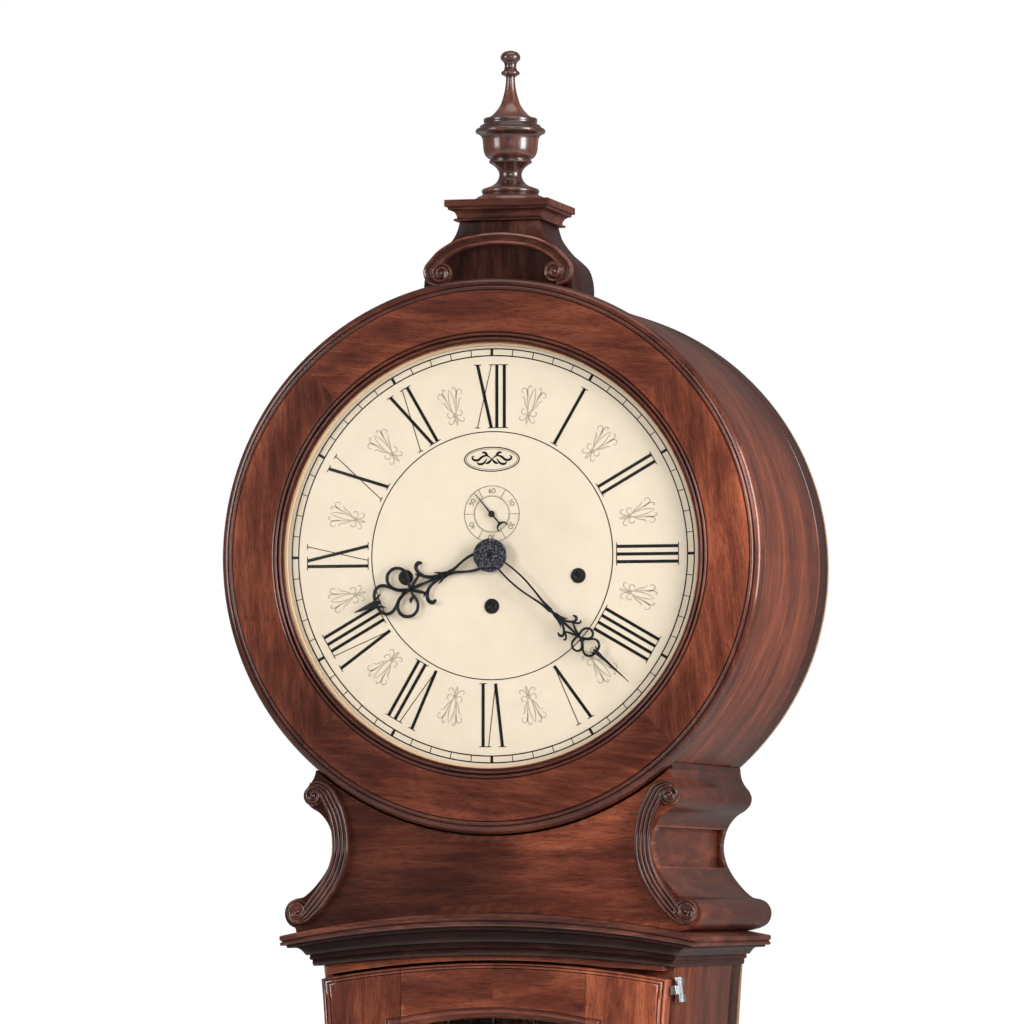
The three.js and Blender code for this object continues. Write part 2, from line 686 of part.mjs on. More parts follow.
function makeGoingTrain() {
  const greatModule = -TIME_WINDING_Z * 2 / (54 + 6);
  const great = gear({
    teeth: 54, module: greatModule, angle: towards(timeArbor, centre), ...timeArbor,
    front: 102, back: 105, bore: 3.5,
  });
  add('time_great_wheel', great, brass);

  const centreWheel = join(
    rod(2.8, 3.5, PIVOT_BACK, 0, 0, 12),
    gear({ teeth: 8, module: MINUTE_MODULE, angle: towards(centre, minuteArbor), front: 43, back: 47 }),
    gear({
      teeth: 48, module: CENTRE_MODULE, angle: towards(centre, thirdArbor),
      front: 63, back: 65.5,
    }),
    gear({
      teeth: 6, module: greatModule, angle: gapTowards(centre, timeArbor, 6),
      front: 100, back: 107,
    }),
  );
  add('centre_wheel', centreWheel, brass);

  const third = join(
    rod(1.6, MOVEMENT_FRONT + 0.5, PIVOT_BACK, thirdArbor.x, thirdArbor.z, 12),
    gear({
      teeth: 6, module: CENTRE_MODULE, angle: gapTowards(thirdArbor, centre, 6), ...thirdArbor,
      front: 61, back: 68,
    }),
    gear({
      teeth: 45, module: THIRD_MODULE, angle: towards(thirdArbor, escapeArbor), ...thirdArbor,
      front: 90, back: 92,
    }),
  );
  add('third_wheel', third, brass);

  const escape = join(
    rod(1.2, 9.4, PIVOT_BACK, 0, ESCAPE_Z, 12),
    gear({
      teeth: 6, module: THIRD_MODULE, angle: gapTowards(escapeArbor, thirdArbor, 6), ...escapeArbor,
      front: 88, back: 95,
    }),
    dialPanel(escapeShape(), 76, 78).translate(0, 0, ESCAPE_Z),
  );
  add('escape_wheel', escape, brass);
}

const ESCAPE_TEETH = 30;
const ESCAPE_TIP_R = 17;

// Thirty leaning, pointed teeth.
function escapeShape() {
  const pitch = 2 * Math.PI / ESCAPE_TEETH;
  const points = [];
  for (let i = 0; i < ESCAPE_TEETH; i++) {
    for (const [radius, share] of [[13.5, 0], [ESCAPE_TIP_R, 0.66], [13.5, 0.75]]) {
      const at = (i + share) * pitch;
      points.push([radius * Math.cos(at), radius * Math.sin(at)]);
    }
  }
  return shape(points);
}

function makeMotionWork() {
  const minuteWheel = join(
    rod(1.4, 36, MOVEMENT_FRONT - GAP, minuteArbor.x, minuteArbor.z, 12),
    gear({
      teeth: 24, module: MINUTE_MODULE, angle: gapTowards(minuteArbor, centre, 24), ...minuteArbor,
      front: 44, back: 46,
    }),
    gear({
      teeth: 8, module: HOUR_MODULE, angle: towards(minuteArbor, centre), ...minuteArbor,
      front: 37, back: 42,
    }),
  );
  add('minute_wheel', minuteWheel, brass);

  const pipe = [[3.2, 6], [4.9, 6], [4.9, 41.5], [3.2, 41.5]];
  const hourWheel = join(
    turnedOnY(pipe, 0, 0, 16),
    gear({
      teeth: 32, module: HOUR_MODULE, angle: gapTowards(centre, minuteArbor, 32),
      front: 38, back: 40, bore: 4,
    }),
  );
  add('hour_wheel', hourWheel, brass);
}

// A cable drum with its winding arbor; the outer two carry their great wheels.
function makeWindingDrums() {
  for (const { name, x, z } of windings) {
    const section = [
      [0, 14], [3, 14], [3, 69], [19, 69], [19, 71], [15.8, 71], [15.8, 97], [19, 97], [19, 99], [3, 99],
      [3, PIVOT_BACK], [0, PIVOT_BACK],
    ];
    const pieces = [turnedOnY(section, x, z, 16)];
    if (name !== 'time') pieces.push(gear({ teeth: 24, module: 2.75, x, z, front: 98.5, back: 101 }));
    add(`${name}_drum`, pieces.length > 1 ? join(...pieces) : pieces[0], brass);
  }
}

// ---------------------------------------------------------------- plates, escapement and pendulum

function makePlates() {
  const half = 108;
  const foot = -91.7;
  const head = 78;
  const outline = shape([[-half, foot], [half, foot], [half, 50], [60, head], [-60, head], [-half, 50]]);
  const front = MOVEMENT_FRONT;
  const back = MOVEMENT_BACK;
  const pivots = [
    [3.1, centre], [1.9, thirdArbor], [1.5, escapeArbor], ...windings.map((winding) => [3.3, winding]),
  ];
  const holes = () => pivots.map(([radius, { x, z }]) => rod(radius, front - 2, back + 12, x, z));
  const anchorHole = rod(1.8, front - 2, back + 12, 0, ANCHOR_Z);
  add('front_plate', cut(dialPanel(outline, front, front + PLATE_THICK), ...holes(), anchorHole), brass);

  const pillarPlaces = [[-98, -82], [98, -82], [-52, 70], [52, 70]];
  const pillars = pillarPlaces.map(([x, z]) => rod(4, front + PLATE_THICK + GAP, back + 1, x, z));
  const lugs = [-69, -50].map((x) => dialBlock(x - 1.5, x + 1.5, back + 2, back + 22, -78, -66));
  const { depth, z: hammerZ } = HAMMER_PIVOT;
  const pinHole = rod(1.5, -20, 20, 0, 0, 16).translate(0, -RING_Y, -DIAL_Z).rotateZ(Math.PI / 2);
  const backPlate = cut(
    join(dialPanel(outline, back, back + PLATE_THICK), ...pillars, ...lugs),
    ...holes(),
    anchorHole,
    pinHole.translate(HAMMER_X, deep(depth), DIAL_Z + hammerZ),
  );
  add('back_plate', backPlate, brass);

  const slots = windings.map(({ x }) => (
    dialBlock(x - CABLE_REACH - 4, x - CABLE_REACH + 4, DRUM_PLANE - 14, DRUM_PLANE + 14, -120, -80)
  ));
  add('seat_board', cut(dialBlock(-178, 178, 45, 116, -110, -92), ...slots), plainWood);
}

// The pallets straddle the escape wheel just clear of its tips.
// The crutch hangs behind the back plate.
function makeEscapement() {
  const nibR = ESCAPE_TIP_R + 1.2;
  const arms = shape([
    [-20, ESCAPE_Z + 2], [-19, ESCAPE_Z + 10], [-9, ANCHOR_Z + 2], [9, ANCHOR_Z + 2],
    [19, ESCAPE_Z + 10], [20, ESCAPE_Z + 2], [16.5, ESCAPE_Z + 4], [14, ESCAPE_Z + 13],
    [6, ANCHOR_Z - 5], [-6, ANCHOR_Z - 5], [-14, ESCAPE_Z + 13], [-16.5, ESCAPE_Z + 4],
  ]);
  const anchor = join(
    cut(dialPanel(arms, 75.5, 78.5), rod(nibR, 70, 84, 0, ESCAPE_Z, 48)),
    rod(1.4, MOVEMENT_FRONT + 0.5, 120, 0, ANCHOR_Z, 12),
    dialBlock(-3, 3, 118, 120, 2, ANCHOR_Z + 3),
    dialBlock(-2, 2, 119, PENDULUM_DEPTH + 1, 2, 6),
  );
  add('anchor', anchor, steel);

  const cock = join(
    dialBlock(-12, 12, MOVEMENT_BACK + PLATE_THICK + GAP, 138, ANCHOR_Z + 9, ANCHOR_Z + 14),
    dialBlock(-12, 12, MOVEMENT_BACK + PLATE_THICK + GAP, 117, ANCHOR_Z + 4, ANCHOR_Z + 17),
  );
  add('suspension_post', cock, brass);
}

function makePendulum() {
  const bobZ = ANCHOR_Z - PENDULUM_LENGTH;
  const y = deep(PENDULUM_DEPTH);
  const strap = cut(
    join(
      dialBlock(-5, 5, PENDULUM_DEPTH - 0.6, PENDULUM_DEPTH + 0.6, ANCHOR_Z - 20, ANCHOR_Z + 8),
      dialBlock(-6, 6, PENDULUM_DEPTH - 2, PENDULUM_DEPTH + 2, -60, ANCHOR_Z - 19),
      dialBlock(-8, 8, PENDULUM_DEPTH - 1.5, PENDULUM_DEPTH + 1.5, bobZ - 62, -59),
      post(1.5, DIAL_Z + bobZ - 92, DIAL_Z + bobZ - 61, 0, y, 12),
    ),
    dialBlock(-2.4, 2.4, PENDULUM_DEPTH - 5, PENDULUM_DEPTH + 5, 0, 8),
  );
  add('pendulum_rod', strap, brass);

  const lens = [
    [0, 118.5], [30, 120], [52, 125], [BOB_R, 129.5], [BOB_R, 130.5], [52, 135], [30, 140], [0, 141.5],
  ];
  const bob = cut(
    turnedOnY(lens, 0, bobZ, 24),
    dialBlock(-8.3, 8.3, PENDULUM_DEPTH - 1.8, PENDULUM_DEPTH + 1.8, bobZ - 80, bobZ + 80),
  );
  add('pendulum_bob', bob, brass);

  const nutZ = DIAL_Z + bobZ;
  const nut = cut(post(9, nutZ - 73, nutZ - 64, 0, y, 24), post(1.8, nutZ - 80, nutZ - 60, 0, y, 12));
  add('rating_nut', nut, brass);
}

// ---------------------------------------------------------------- weights, pulleys and cables

function makeWeights() {
  const y = deep(DRUM_PLANE);
  const top = PULLEY_Z - 40;
  for (const { name, x, z } of windings) {
    const shell = [
      [0, top - WEIGHT_LENGTH], [WEIGHT_R - 3, top - WEIGHT_LENGTH], [WEIGHT_R, top - WEIGHT_LENGTH + 5],
      [WEIGHT_R, top - 5], [WEIGHT_R - 3, top], [4, top], [4, top + 8], [0, top + 8],
    ];
    const cheek = (side) => (
      block(x - 5, x + 5, y + side * 5.5 - 1, y + side * 5.5 + 1, PULLEY_Z - 30, PULLEY_Z + 7)
    );
    const weight = join(
      turnedOnZ(shell, x, y, 16),
      cheek(-1),
      cheek(1),
      block(x - 5, x + 5, y - 6, y + 6, PULLEY_Z - 33, PULLEY_Z - 24),
      rod(2, DRUM_PLANE - 6, DRUM_PLANE + 6, x, PULLEY_Z - DIAL_Z, 12),
    );
    add(`${name}_weight`, weight, brass);

    const groove = [
      [2.3, -3.6], [18.5, -3.6], [18.5, -2.6], [15.7, -1.4],
      [15.7, 1.4], [18.5, 2.6], [18.5, 3.6], [2.3, 3.6],
    ].map(([r, a]) => [r, a + DRUM_PLANE]);
    add(`${name}_pulley`, turnedOnY(groove, x, PULLEY_Z - DIAL_Z, 16), steel);
    makeCable(name, x, z);
  }
}

// From its drum, down round the pulley and up to the underside of the seat board.
function makeCable(name, x, windingZ) {
  const y = deep(DRUM_PLANE);
  const sides = 6;
  const loopSteps = 8;
  const loop = new THREE.EllipseCurve(x, PULLEY_Z, CABLE_REACH, CABLE_REACH, Math.PI, 2 * Math.PI);
  const places = loop.getSpacedPoints(loopSteps).map((point) => new THREE.Vector3(point.x, y, point.y));
  const bend = new THREE.CatmullRomCurve3(places);
  const section = new THREE.Shape(
    Array.from({ length: sides }, (_, i) => {
      const angle = 2 * Math.PI * (i + 0.5) / sides;
      return new THREE.Vector2(CABLE_R * Math.cos(angle), CABLE_R * Math.sin(angle));
    }),
  );
  const turn = new THREE.ExtrudeGeometry(section, { steps: loopSteps, extrudePath: bend });
  const cable = join(
    turn,
    post(CABLE_R, PULLEY_Z - 0.2, DIAL_Z + windingZ, x - CABLE_REACH, y, sides),
    post(CABLE_R, PULLEY_Z - 0.2, DIAL_Z - 110 - GAP, x + CABLE_REACH, y, sides),
  );
  add(`${name}_cable`, cable, steel);
}

// ---------------------------------------------------------------- chime rods and hammer

const HAMMER_X = -59.5;
const HAMMER_PIVOT = { depth: 127, z: -72 };

function makeChime() {
  const rodDepth = 152;
  const pitch = 13;
  const rods = [-2, -1, 0, 1, 2].map((i) => (
    post(2, DIAL_Z - 470 + 12 * i, DIAL_Z - 205, HAMMER_X + pitch * i, deep(rodDepth), 10)
  ));
  const chime = join(
    dialBlock(HAMMER_X - 34, HAMMER_X + 34, 146, 158, -213, -191),
    dialBlock(HAMMER_X - 20, HAMMER_X + 20, 157, CASE_DEPTH - BACK_BOARD - GAP, -211, -193),
    ...rods,
  );
  add('chime_block', chime, castIron);

  const { depth, z } = HAMMER_PIVOT;
  const headZ = -228;
  const hub = rod(3, -7, 7, 0, 0, 16).translate(0, -RING_Y, -DIAL_Z).rotateZ(Math.PI / 2);
  const pin = rod(1.2, -10.6, 10.6, 0, 0, 12).translate(0, -RING_Y, -DIAL_Z).rotateZ(Math.PI / 2);
  const arbor = join(hub, pin).translate(HAMMER_X, deep(depth), DIAL_Z + z);
  const hammer = join(
    arbor,
    dialBlock(HAMMER_X - 1.5, HAMMER_X + 1.5, depth - 2, depth + 2, headZ, z),
    rod(6, depth - 6, rodDepth - 4, HAMMER_X, headZ, 20),
  );
  add('strike_hammer', hammer, brass);
}

makeBase();
makeWaist();
makeBackBoard();
makeCornice();
makeNeck();
makeHead();
makePedestal();
makeDialDoor();
makeWaistDoor();
makeDial();
makeHands();
makeGoingTrain();
makeMotionWork();
makeWindingDrums();
makePlates();
makeEscapement();
makePendulum();
makeWeights();
makeChime();

export default clock;
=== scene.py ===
"""Looks for the banjo clock: carved and lacquered case, printed dial, pierced hands, weight-driven movement.

The scene is in metres, in the part's own frame. The tables below are in millimetres: x from the middle of the
clock, depth behind the front face of the dial door's ring, and height above (or below) the dial's centre.
"""
import math

import bmesh
import bpy
from mathutils import Matrix, Vector


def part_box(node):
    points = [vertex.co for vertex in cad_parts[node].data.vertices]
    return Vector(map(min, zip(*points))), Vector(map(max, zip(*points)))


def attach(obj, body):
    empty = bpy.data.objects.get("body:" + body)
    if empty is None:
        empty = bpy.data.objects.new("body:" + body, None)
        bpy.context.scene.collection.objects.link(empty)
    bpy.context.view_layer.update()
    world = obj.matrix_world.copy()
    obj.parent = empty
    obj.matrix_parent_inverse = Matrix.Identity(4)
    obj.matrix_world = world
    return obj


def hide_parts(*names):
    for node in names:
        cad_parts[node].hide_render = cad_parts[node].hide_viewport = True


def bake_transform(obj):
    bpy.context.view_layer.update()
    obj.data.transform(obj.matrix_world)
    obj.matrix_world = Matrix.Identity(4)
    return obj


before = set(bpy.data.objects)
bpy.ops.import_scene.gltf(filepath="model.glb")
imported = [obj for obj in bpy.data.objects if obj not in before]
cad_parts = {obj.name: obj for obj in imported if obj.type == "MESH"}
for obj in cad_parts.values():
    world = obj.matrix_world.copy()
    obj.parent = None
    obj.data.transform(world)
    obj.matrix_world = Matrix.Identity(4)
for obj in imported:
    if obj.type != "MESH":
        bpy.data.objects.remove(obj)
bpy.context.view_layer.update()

MM = 0.001
ring_low, ring_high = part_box("dial_door_ring")
DIAL_X = (ring_low.x + ring_high.x) / 2
DIAL_Z = (ring_low.z + ring_high.z) / 2
FRONT_Y = ring_low.y
FLOOR = -DIAL_Z / MM          # height of the floor, from the dial's centre


def at(x, depth, height):
    """A point from its x, depth and height in millimetres."""
    return Vector((DIAL_X + x * MM, FRONT_Y + depth * MM, DIAL_Z + height * MM))


def place_of(point):
    """A point's x, depth and height in millimetres."""
    return (point.x - DIAL_X) / MM, (point.y - FRONT_Y) / MM, (point.z - DIAL_Z) / MM


# ------------------------------------------------------------------ curves in the plane

def spline(points, steps=6, closed=False):
    """A smooth run through points (Catmull-Rom)."""
    n = len(points)
    out = []
    for i in range(n if closed else n - 1):
        p0 = points[(i - 1) % n] if closed or i > 0 else points[0]
        p1, p2 = points[i], points[(i + 1) % n]
        p3 = points[(i + 2) % n] if closed or i + 2 < n else points[-1]
        for s in range(steps):
            t = s / steps
            out.append(tuple(
                b + 0.5 * t * (c - a + t * (2 * a - 5 * b + 4 * c - d + t * (3 * b - a - 3 * c + d)))
                for a, b, c, d in zip(p0, p1, p2, p3)
            ))
    if not closed:
        out.append(tuple(points[-1]))
    return out


def arc(cx, cy, radius, start, end, steps=10):
    """Points on a circle, angles in degrees."""
    angles = (math.radians(start + (end - start) * i / steps) for i in range(steps + 1))
    return [(cx + radius * math.cos(a), cy + radius * math.sin(a)) for a in angles]


def eased(points, radius, closed=True, steps=3):
    """A polyline with its corners rounded; a point may carry its own radius as a third number."""
    n = len(points)
    out = []
    for i, point in enumerate(points):
        here = Vector(point[:2])
        r = point[2] if len(point) > 2 else radius
        if r <= 0 or (not closed and i in (0, n - 1)):
            out.append(tuple(here))
            continue
        before, after = Vector(points[i - 1][:2]), Vector(points[(i + 1) % n][:2])
        back, ahead = before - here, after - here
        if back.length < 1e-6 or ahead.length < 1e-6:
            out.append(tuple(here))
            continue
        reach = min(r, back.length * 0.45, ahead.length * 0.45)
        a, b = here + back.normalized() * reach, here + ahead.normalized() * reach
        for s in range(steps + 1):
            t = s / steps
            out.append(tuple((1 - t) ** 2 * a + 2 * t * (1 - t) * here + t * t * b))
    return out


def mirrored(points):
    """A run of points and its mirror image, as one outline; points on the axis are used once."""
    return points + [(-x, z) for x, z in reversed(points) if x]


def across(line, start, end, steps, lift=0.0):
    """Points of a line that gives a height for each x."""
    xs = (start + (end - start) * i / steps for i in range(steps + 1))
    return [(x, line(x) + lift) for x in xs]


def smoothed(share):
    """A share from 0 to 1 that starts and ends gently."""
    share = max(0.0, min(1.0, share))
    return share * share * (3 - 2 * share)


def sides_along(path, half):
    """Each point of a path, with the vector across it as long as the half width there."""
    last = len(path) - 1
    for i, point in enumerate(path):
        along = (Vector(path[min(last, i + 1)]) - Vector(path[max(0, i - 1)])).normalized()
        width = half[i] if isinstance(half, (list, tuple)) else half
        yield point, Vector((along.y, -along.x)) * width


def swelling(path, thin, swell):
    """Half widths of a pen's stroke: thin at both ends, and fullest half way."""
    last = len(path) - 1
    return [thin + swell * math.sin(math.pi * i / last) for i in range(last + 1)]


# ------------------------------------------------------------------ meshes

def lattice(rows, wrap_rows=False, wrap_columns=True, caps=False):
    """Vertices and faces of a skin over rows of points; caps close the first and last row."""
    width = len(rows[0])
    verts = [v for row in rows for v in row]
    faces = []
    for i in range(len(rows) if wrap_rows else len(rows) - 1):
        j = (i + 1) % len(rows)
        for c in range(width if wrap_columns else width - 1):
            d = (c + 1) % width
            faces.append((i * width + c, i * width + d, j * width + d, j * width + c))
    if caps:
        faces.append(tuple(range(width)))
        faces.append(tuple(range((len(rows) - 1) * width, len(rows) * width)))
    return verts, faces


class Shells:
    """Closed shells that make up one piece."""

    def __init__(self):
        self.verts, self.faces = [], []

    def add(self, verts, faces):
        base = len(self.verts)
        self.verts += list(verts)
        self.faces += [tuple(base + i for i in face) for face in faces]
        return self

    def skin(self, rows, **closing):
        return self.add(*lattice(rows, **closing))

    def prism(self, outline, front, back):
        """An outline in x and height, from one depth to another."""
        return self.skin([[at(x, d, z) for x, z in outline] for d in (front, back)], caps=True)

    def turned(self, section, x, height, steps=96, upright=False, depth=0):
        """A closed section (radius, position) turned about a front-to-back axis, or an upright one."""
        rows = []
        for i in range(steps):
            a = 2 * math.pi * i / steps
            c, s = math.cos(a), math.sin(a)
            if upright:
                rows.append([at(x + r * c, depth + r * s, height + p) for r, p in section])
            else:
                rows.append([at(x + r * c, p, height + r * s) for r, p in section])
        return self.skin(rows, wrap_rows=True)

    def ribbon(self, path, half, front, back, place, crown=0.35):
        """A strip along a path, with its front edges eased; place maps the path's plane to (x, height)."""
        edge = front + crown
        section = [(-1, back), (-1, edge), (-0.55, front), (0.55, front), (1, edge), (1, back)]
        rows = []
        for (u, v), side in sides_along(path, half):
            row = []
            for share, depth in section:
                x, z = place(u + side.x * share, v + side.y * share)
                row.append(at(x, depth, z))
            rows.append(row)
        return self.skin(rows, caps=True)


def turn_by(degrees, x=0, z=0):
    """Places (across, along) of a hand that points up onto the dial, turned clockwise about an arbor."""
    a = math.radians(degrees)
    return lambda u, v: (x + v * math.sin(a) + u * math.cos(a), z + v * math.cos(a) - u * math.sin(a))


GRAIN_TO_X = {
    "x": Matrix.Identity(3),
    "y": Matrix(((0, 1, 0), (1, 0, 0), (0, 0, 1))),
    "z": Matrix(((0, 0, 1), (1, 0, 0), (0, 1, 0))),
}
SHORT_FACE = 0.009            # faces with no longer edge than this are darker in hollows and lighter on ridges: glazing and rubbing, with painted shade and painted light


def dress(mesh, grain, tone=1.0, shading=None):
    """Writes what the materials read: how the grain lies, how dark the finish is, how buffed a ridge is. On
    small faces the tone is darker in the hollows, with glazing and painted shade, and painted lighter on the
    ridges.

    grain is an axis, or a function of a face's centre that gives a matrix and an offset. tone is a number, or
    a function of a face's centre. shading is a function of a point, for a tone that changes smoothly.
    """
    bm = bmesh.new()
    bm.from_mesh(mesh)
    bm.normal_update()
    hollow = {}
    for v in bm.verts:
        near = [e for e in v.link_edges if 1e-7 < e.calc_length() < SHORT_FACE]
        rise = [(e.other_vert(v).co - v.co).normalized().dot(v.normal) for e in near]
        hollow[v.index] = sum(rise) / len(rise) if rise else 0.0
    bm.free()
    points, tones, shines = [], [], []
    for poly in mesh.polygons:
        if callable(grain):
            matrix, shift = grain(poly.center)
        else:
            matrix, shift = GRAIN_TO_X[grain], Vector()
        corners = [mesh.vertices[i].co for i in poly.vertices]
        small = all((co - poly.center).length < SHORT_FACE for co in corners)
        base = tone(poly.center) if callable(tone) else tone
        for i, co in zip(poly.vertices, corners):
            points.extend(matrix @ co + shift)
            # hollows get glazing and painted shade, and ridges are painted lighter
            wear_and_shade = -hollow[i] if small else 0.0
            soft = shading(co) if shading else 1.0
            tones.append(base * soft * (1 + max(-0.62, min(0.9, 2.3 * wear_and_shade))))
            shines.append(max(0.0, min(1.0, 4 * wear_and_shade)))
    mesh.attributes.new("grain", "FLOAT_VECTOR", "CORNER").data.foreach_set("vector", points)
    mesh.attributes.new("tone", "FLOAT", "CORNER").data.foreach_set("value", tones)
    mesh.attributes.new("shine", "FLOAT", "CORNER").data.foreach_set("value", shines)


def add_to_scene(name, data):
    obj = bpy.data.objects.new(name, data)
    bpy.context.scene.collection.objects.link(obj)
    return obj


def new_object(name, shells):
    """An object with a cleaned mesh, in the scene."""
    mesh = bpy.data.meshes.new(name)
    mesh.from_pydata([tuple(v) for v in shells.verts], [], shells.faces)
    clean(mesh)
    return add_to_scene(name, mesh)


def soften(mesh, crease):
    """Smooth shading, with a sharp edge wherever faces meet at more than the crease angle."""
    mesh.shade_smooth()
    mesh.set_sharp_from_angle(angle=math.radians(crease))


def piece(name, shells, material, body="case", replaces=None, grain="z", tone=1.0, crease=38, bevel=None,
          cutters=(), smooth=True, shading=None, ruled=False, slot=None):
    """One visible piece: cleaned, cut, bevelled, given its material, and riding on its body."""
    obj = new_object(name, shells)
    for cutter in cutters:
        cut(obj, cutter)
    if bevel:
        add_bevel(obj, bevel)
    bake_modifiers(obj)
    mesh = obj.data
    clean(mesh)
    if ruled:
        rule(mesh)
    if smooth:
        soften(mesh, crease)
    dress(mesh, grain, tone, shading)
    mesh.materials.clear()
    mesh.materials.append(material)
    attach(obj, body)
    if replaces:
        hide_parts(replaces)
    slot or SLOTS[material.name]
    return obj


def clean(mesh):
    """Merges points that coincide, and turns every face outward."""
    bm = bmesh.new()
    bm.from_mesh(mesh)
    bmesh.ops.remove_doubles(bm, verts=bm.verts, dist=2e-7)
    bmesh.ops.dissolve_degenerate(bm, edges=bm.edges, dist=2e-7)
    bmesh.ops.recalc_face_normals(bm, faces=bm.faces)
    bm.to_mesh(mesh)
    bm.free()


def rule(mesh, pitch=12 * MM):
    """Divides a mesh's large faces with a grid of upright and level lines."""
    bm = bmesh.new()
    bm.from_mesh(mesh)
    for axis in (0, 2):
        places = [v.co[axis] for v in bm.verts]
        for i in range(1, int((max(places) - min(places)) / pitch)):
            point, normal = Vector(), Vector()
            point[axis], normal[axis] = min(places) + i * pitch + 3e-5, 1.0
            everything = bm.verts[:] + bm.edges[:] + bm.faces[:]
            bmesh.ops.bisect_plane(bm, geom=everything, plane_co=point, plane_no=normal)
    bm.to_mesh(mesh)
    bm.free()


def cut(obj, shells):
    """Takes a closed shell away from a piece."""
    tool = new_object("tool", shells)
    modifier = obj.modifiers.new("cut", "BOOLEAN")
    modifier.operation, modifier.solver, modifier.object = "DIFFERENCE", "EXACT", tool
    bake_modifiers(obj)
    bpy.data.objects.remove(tool)


def add_bevel(obj, width, angle=35, miter="MITER_ARC"):
    """Eases the edges where faces meet at more than an angle."""
    modifier = obj.modifiers.new("bevel", "BEVEL")
    modifier.width, modifier.segments, modifier.miter_outer = width * MM, 2, miter
    modifier.limit_method, modifier.angle_limit = "ANGLE", math.radians(angle)


def bake_modifiers(obj):
    """Puts what the modifiers make into the mesh itself."""
    if not obj.modifiers:
        return
    bpy.context.view_layer.update()
    depsgraph = bpy.context.evaluated_depsgraph_get()
    made = bpy.data.meshes.new_from_object(obj.evaluated_get(depsgraph))
    obj.modifiers.clear()
    obj.data = made


def box(x0, x1, front, back, low, high):
    return Shells().prism([(x0, low), (x1, low), (x1, high), (x0, high)], front, back)


# ------------------------------------------------------------------ materials

SLOTS = {}                    # the slot of the frame that each material fills, by the material's name


class Graph:
    """A short way to write the node tree of a material or a world."""

    def __init__(self, owner, output):
        owner.use_nodes = True
        self.owner, self.tree = owner, owner.node_tree
        self.tree.nodes.clear()
        self.output = self.node(output)

    def plug(self, socket, value):
        if isinstance(value, bpy.types.NodeSocket):
            self.tree.links.new(value, socket)
        else:
            socket.default_value = value

    def node(self, kind, inputs=None, **settings):
        made = self.tree.nodes.new(kind)
        for key, value in settings.items():
            setattr(made, key, value)
        for key, value in (inputs or {}).items():
            self.plug(made.inputs[key], value)
        return made

    def attribute(self, name, output="Fac"):
        return self.node("ShaderNodeAttribute", attribute_name=name).outputs[output]

    def place(self):
        return self.node("ShaderNodeTexCoord").outputs["Object"]

    def noise(self, vector, scale, stretch=(1, 1, 1), detail=3.0, roughness=0.55, distortion=0.0):
        mapped = self.node("ShaderNodeMapping", {"Vector": vector, "Scale": stretch}).outputs["Vector"]
        return self.node("ShaderNodeTexNoise", {
            "Vector": mapped, "Scale": scale, "Detail": detail, "Roughness": roughness,
            "Distortion": distortion,
        }).outputs["Fac"]

    def ramp(self, value, *stops):
        made = self.node("ShaderNodeValToRGB", {"Fac": value})
        elements = made.color_ramp.elements
        while len(elements) < len(stops):
            elements.new(0.5)
        for element, (place, colour) in zip(elements, stops):
            element.position = place
            element.color = (*colour, 1) if len(colour) == 3 else colour
        return made.outputs["Color"]

    def multiply(self, a, b, factor=1.0):
        """The product of two colours, or part of the way there."""
        made = self.node("ShaderNodeMix", {0: factor, 6: a, 7: b}, data_type="RGBA", blend_type="MULTIPLY")
        return made.outputs[2]

    def math(self, kind, a, b, clamp=False):
        return self.node("ShaderNodeMath", {0: a, 1: b}, operation=kind, use_clamp=clamp).outputs[0]

    def blend(self, *weighted):
        """The weighted sum of (value, weight) pairs."""
        parts = [self.math("MULTIPLY", value, weight) for value, weight in weighted]
        total = parts[0]
        for part in parts[1:]:
            total = self.math("ADD", total, part)
        return total

    def spread(self, value, low, high, start=0.3, end=0.7):
        """Maps the middle of a noise's range, or another stretch of values, onto low..high."""
        return self.node("ShaderNodeMapRange", {
            "Value": value, "From Min": start, "From Max": end, "To Min": low, "To Max": high,
        }).outputs["Result"]

    def bump(self, height, strength, distance):
        return self.node("ShaderNodeBump", {
            "Height": height, "Strength": strength, "Distance": distance,
        }).outputs["Normal"]

    def finish(self, shader):
        """Wires a shader to the output and gives the owner back."""
        self.tree.links.new(shader.outputs[0], self.output.inputs["Surface"])
        return self.owner

    def surface(self, **inputs):
        keyed = {name.replace("_", " "): value for name, value in inputs.items()}
        return self.finish(self.node("ShaderNodeBsdfPrincipled", keyed))


def new_graph(name, slot):
    material = bpy.data.materials.new(name)
    SLOTS[material.name] = slot
    return Graph(material, "ShaderNodeOutputMaterial")


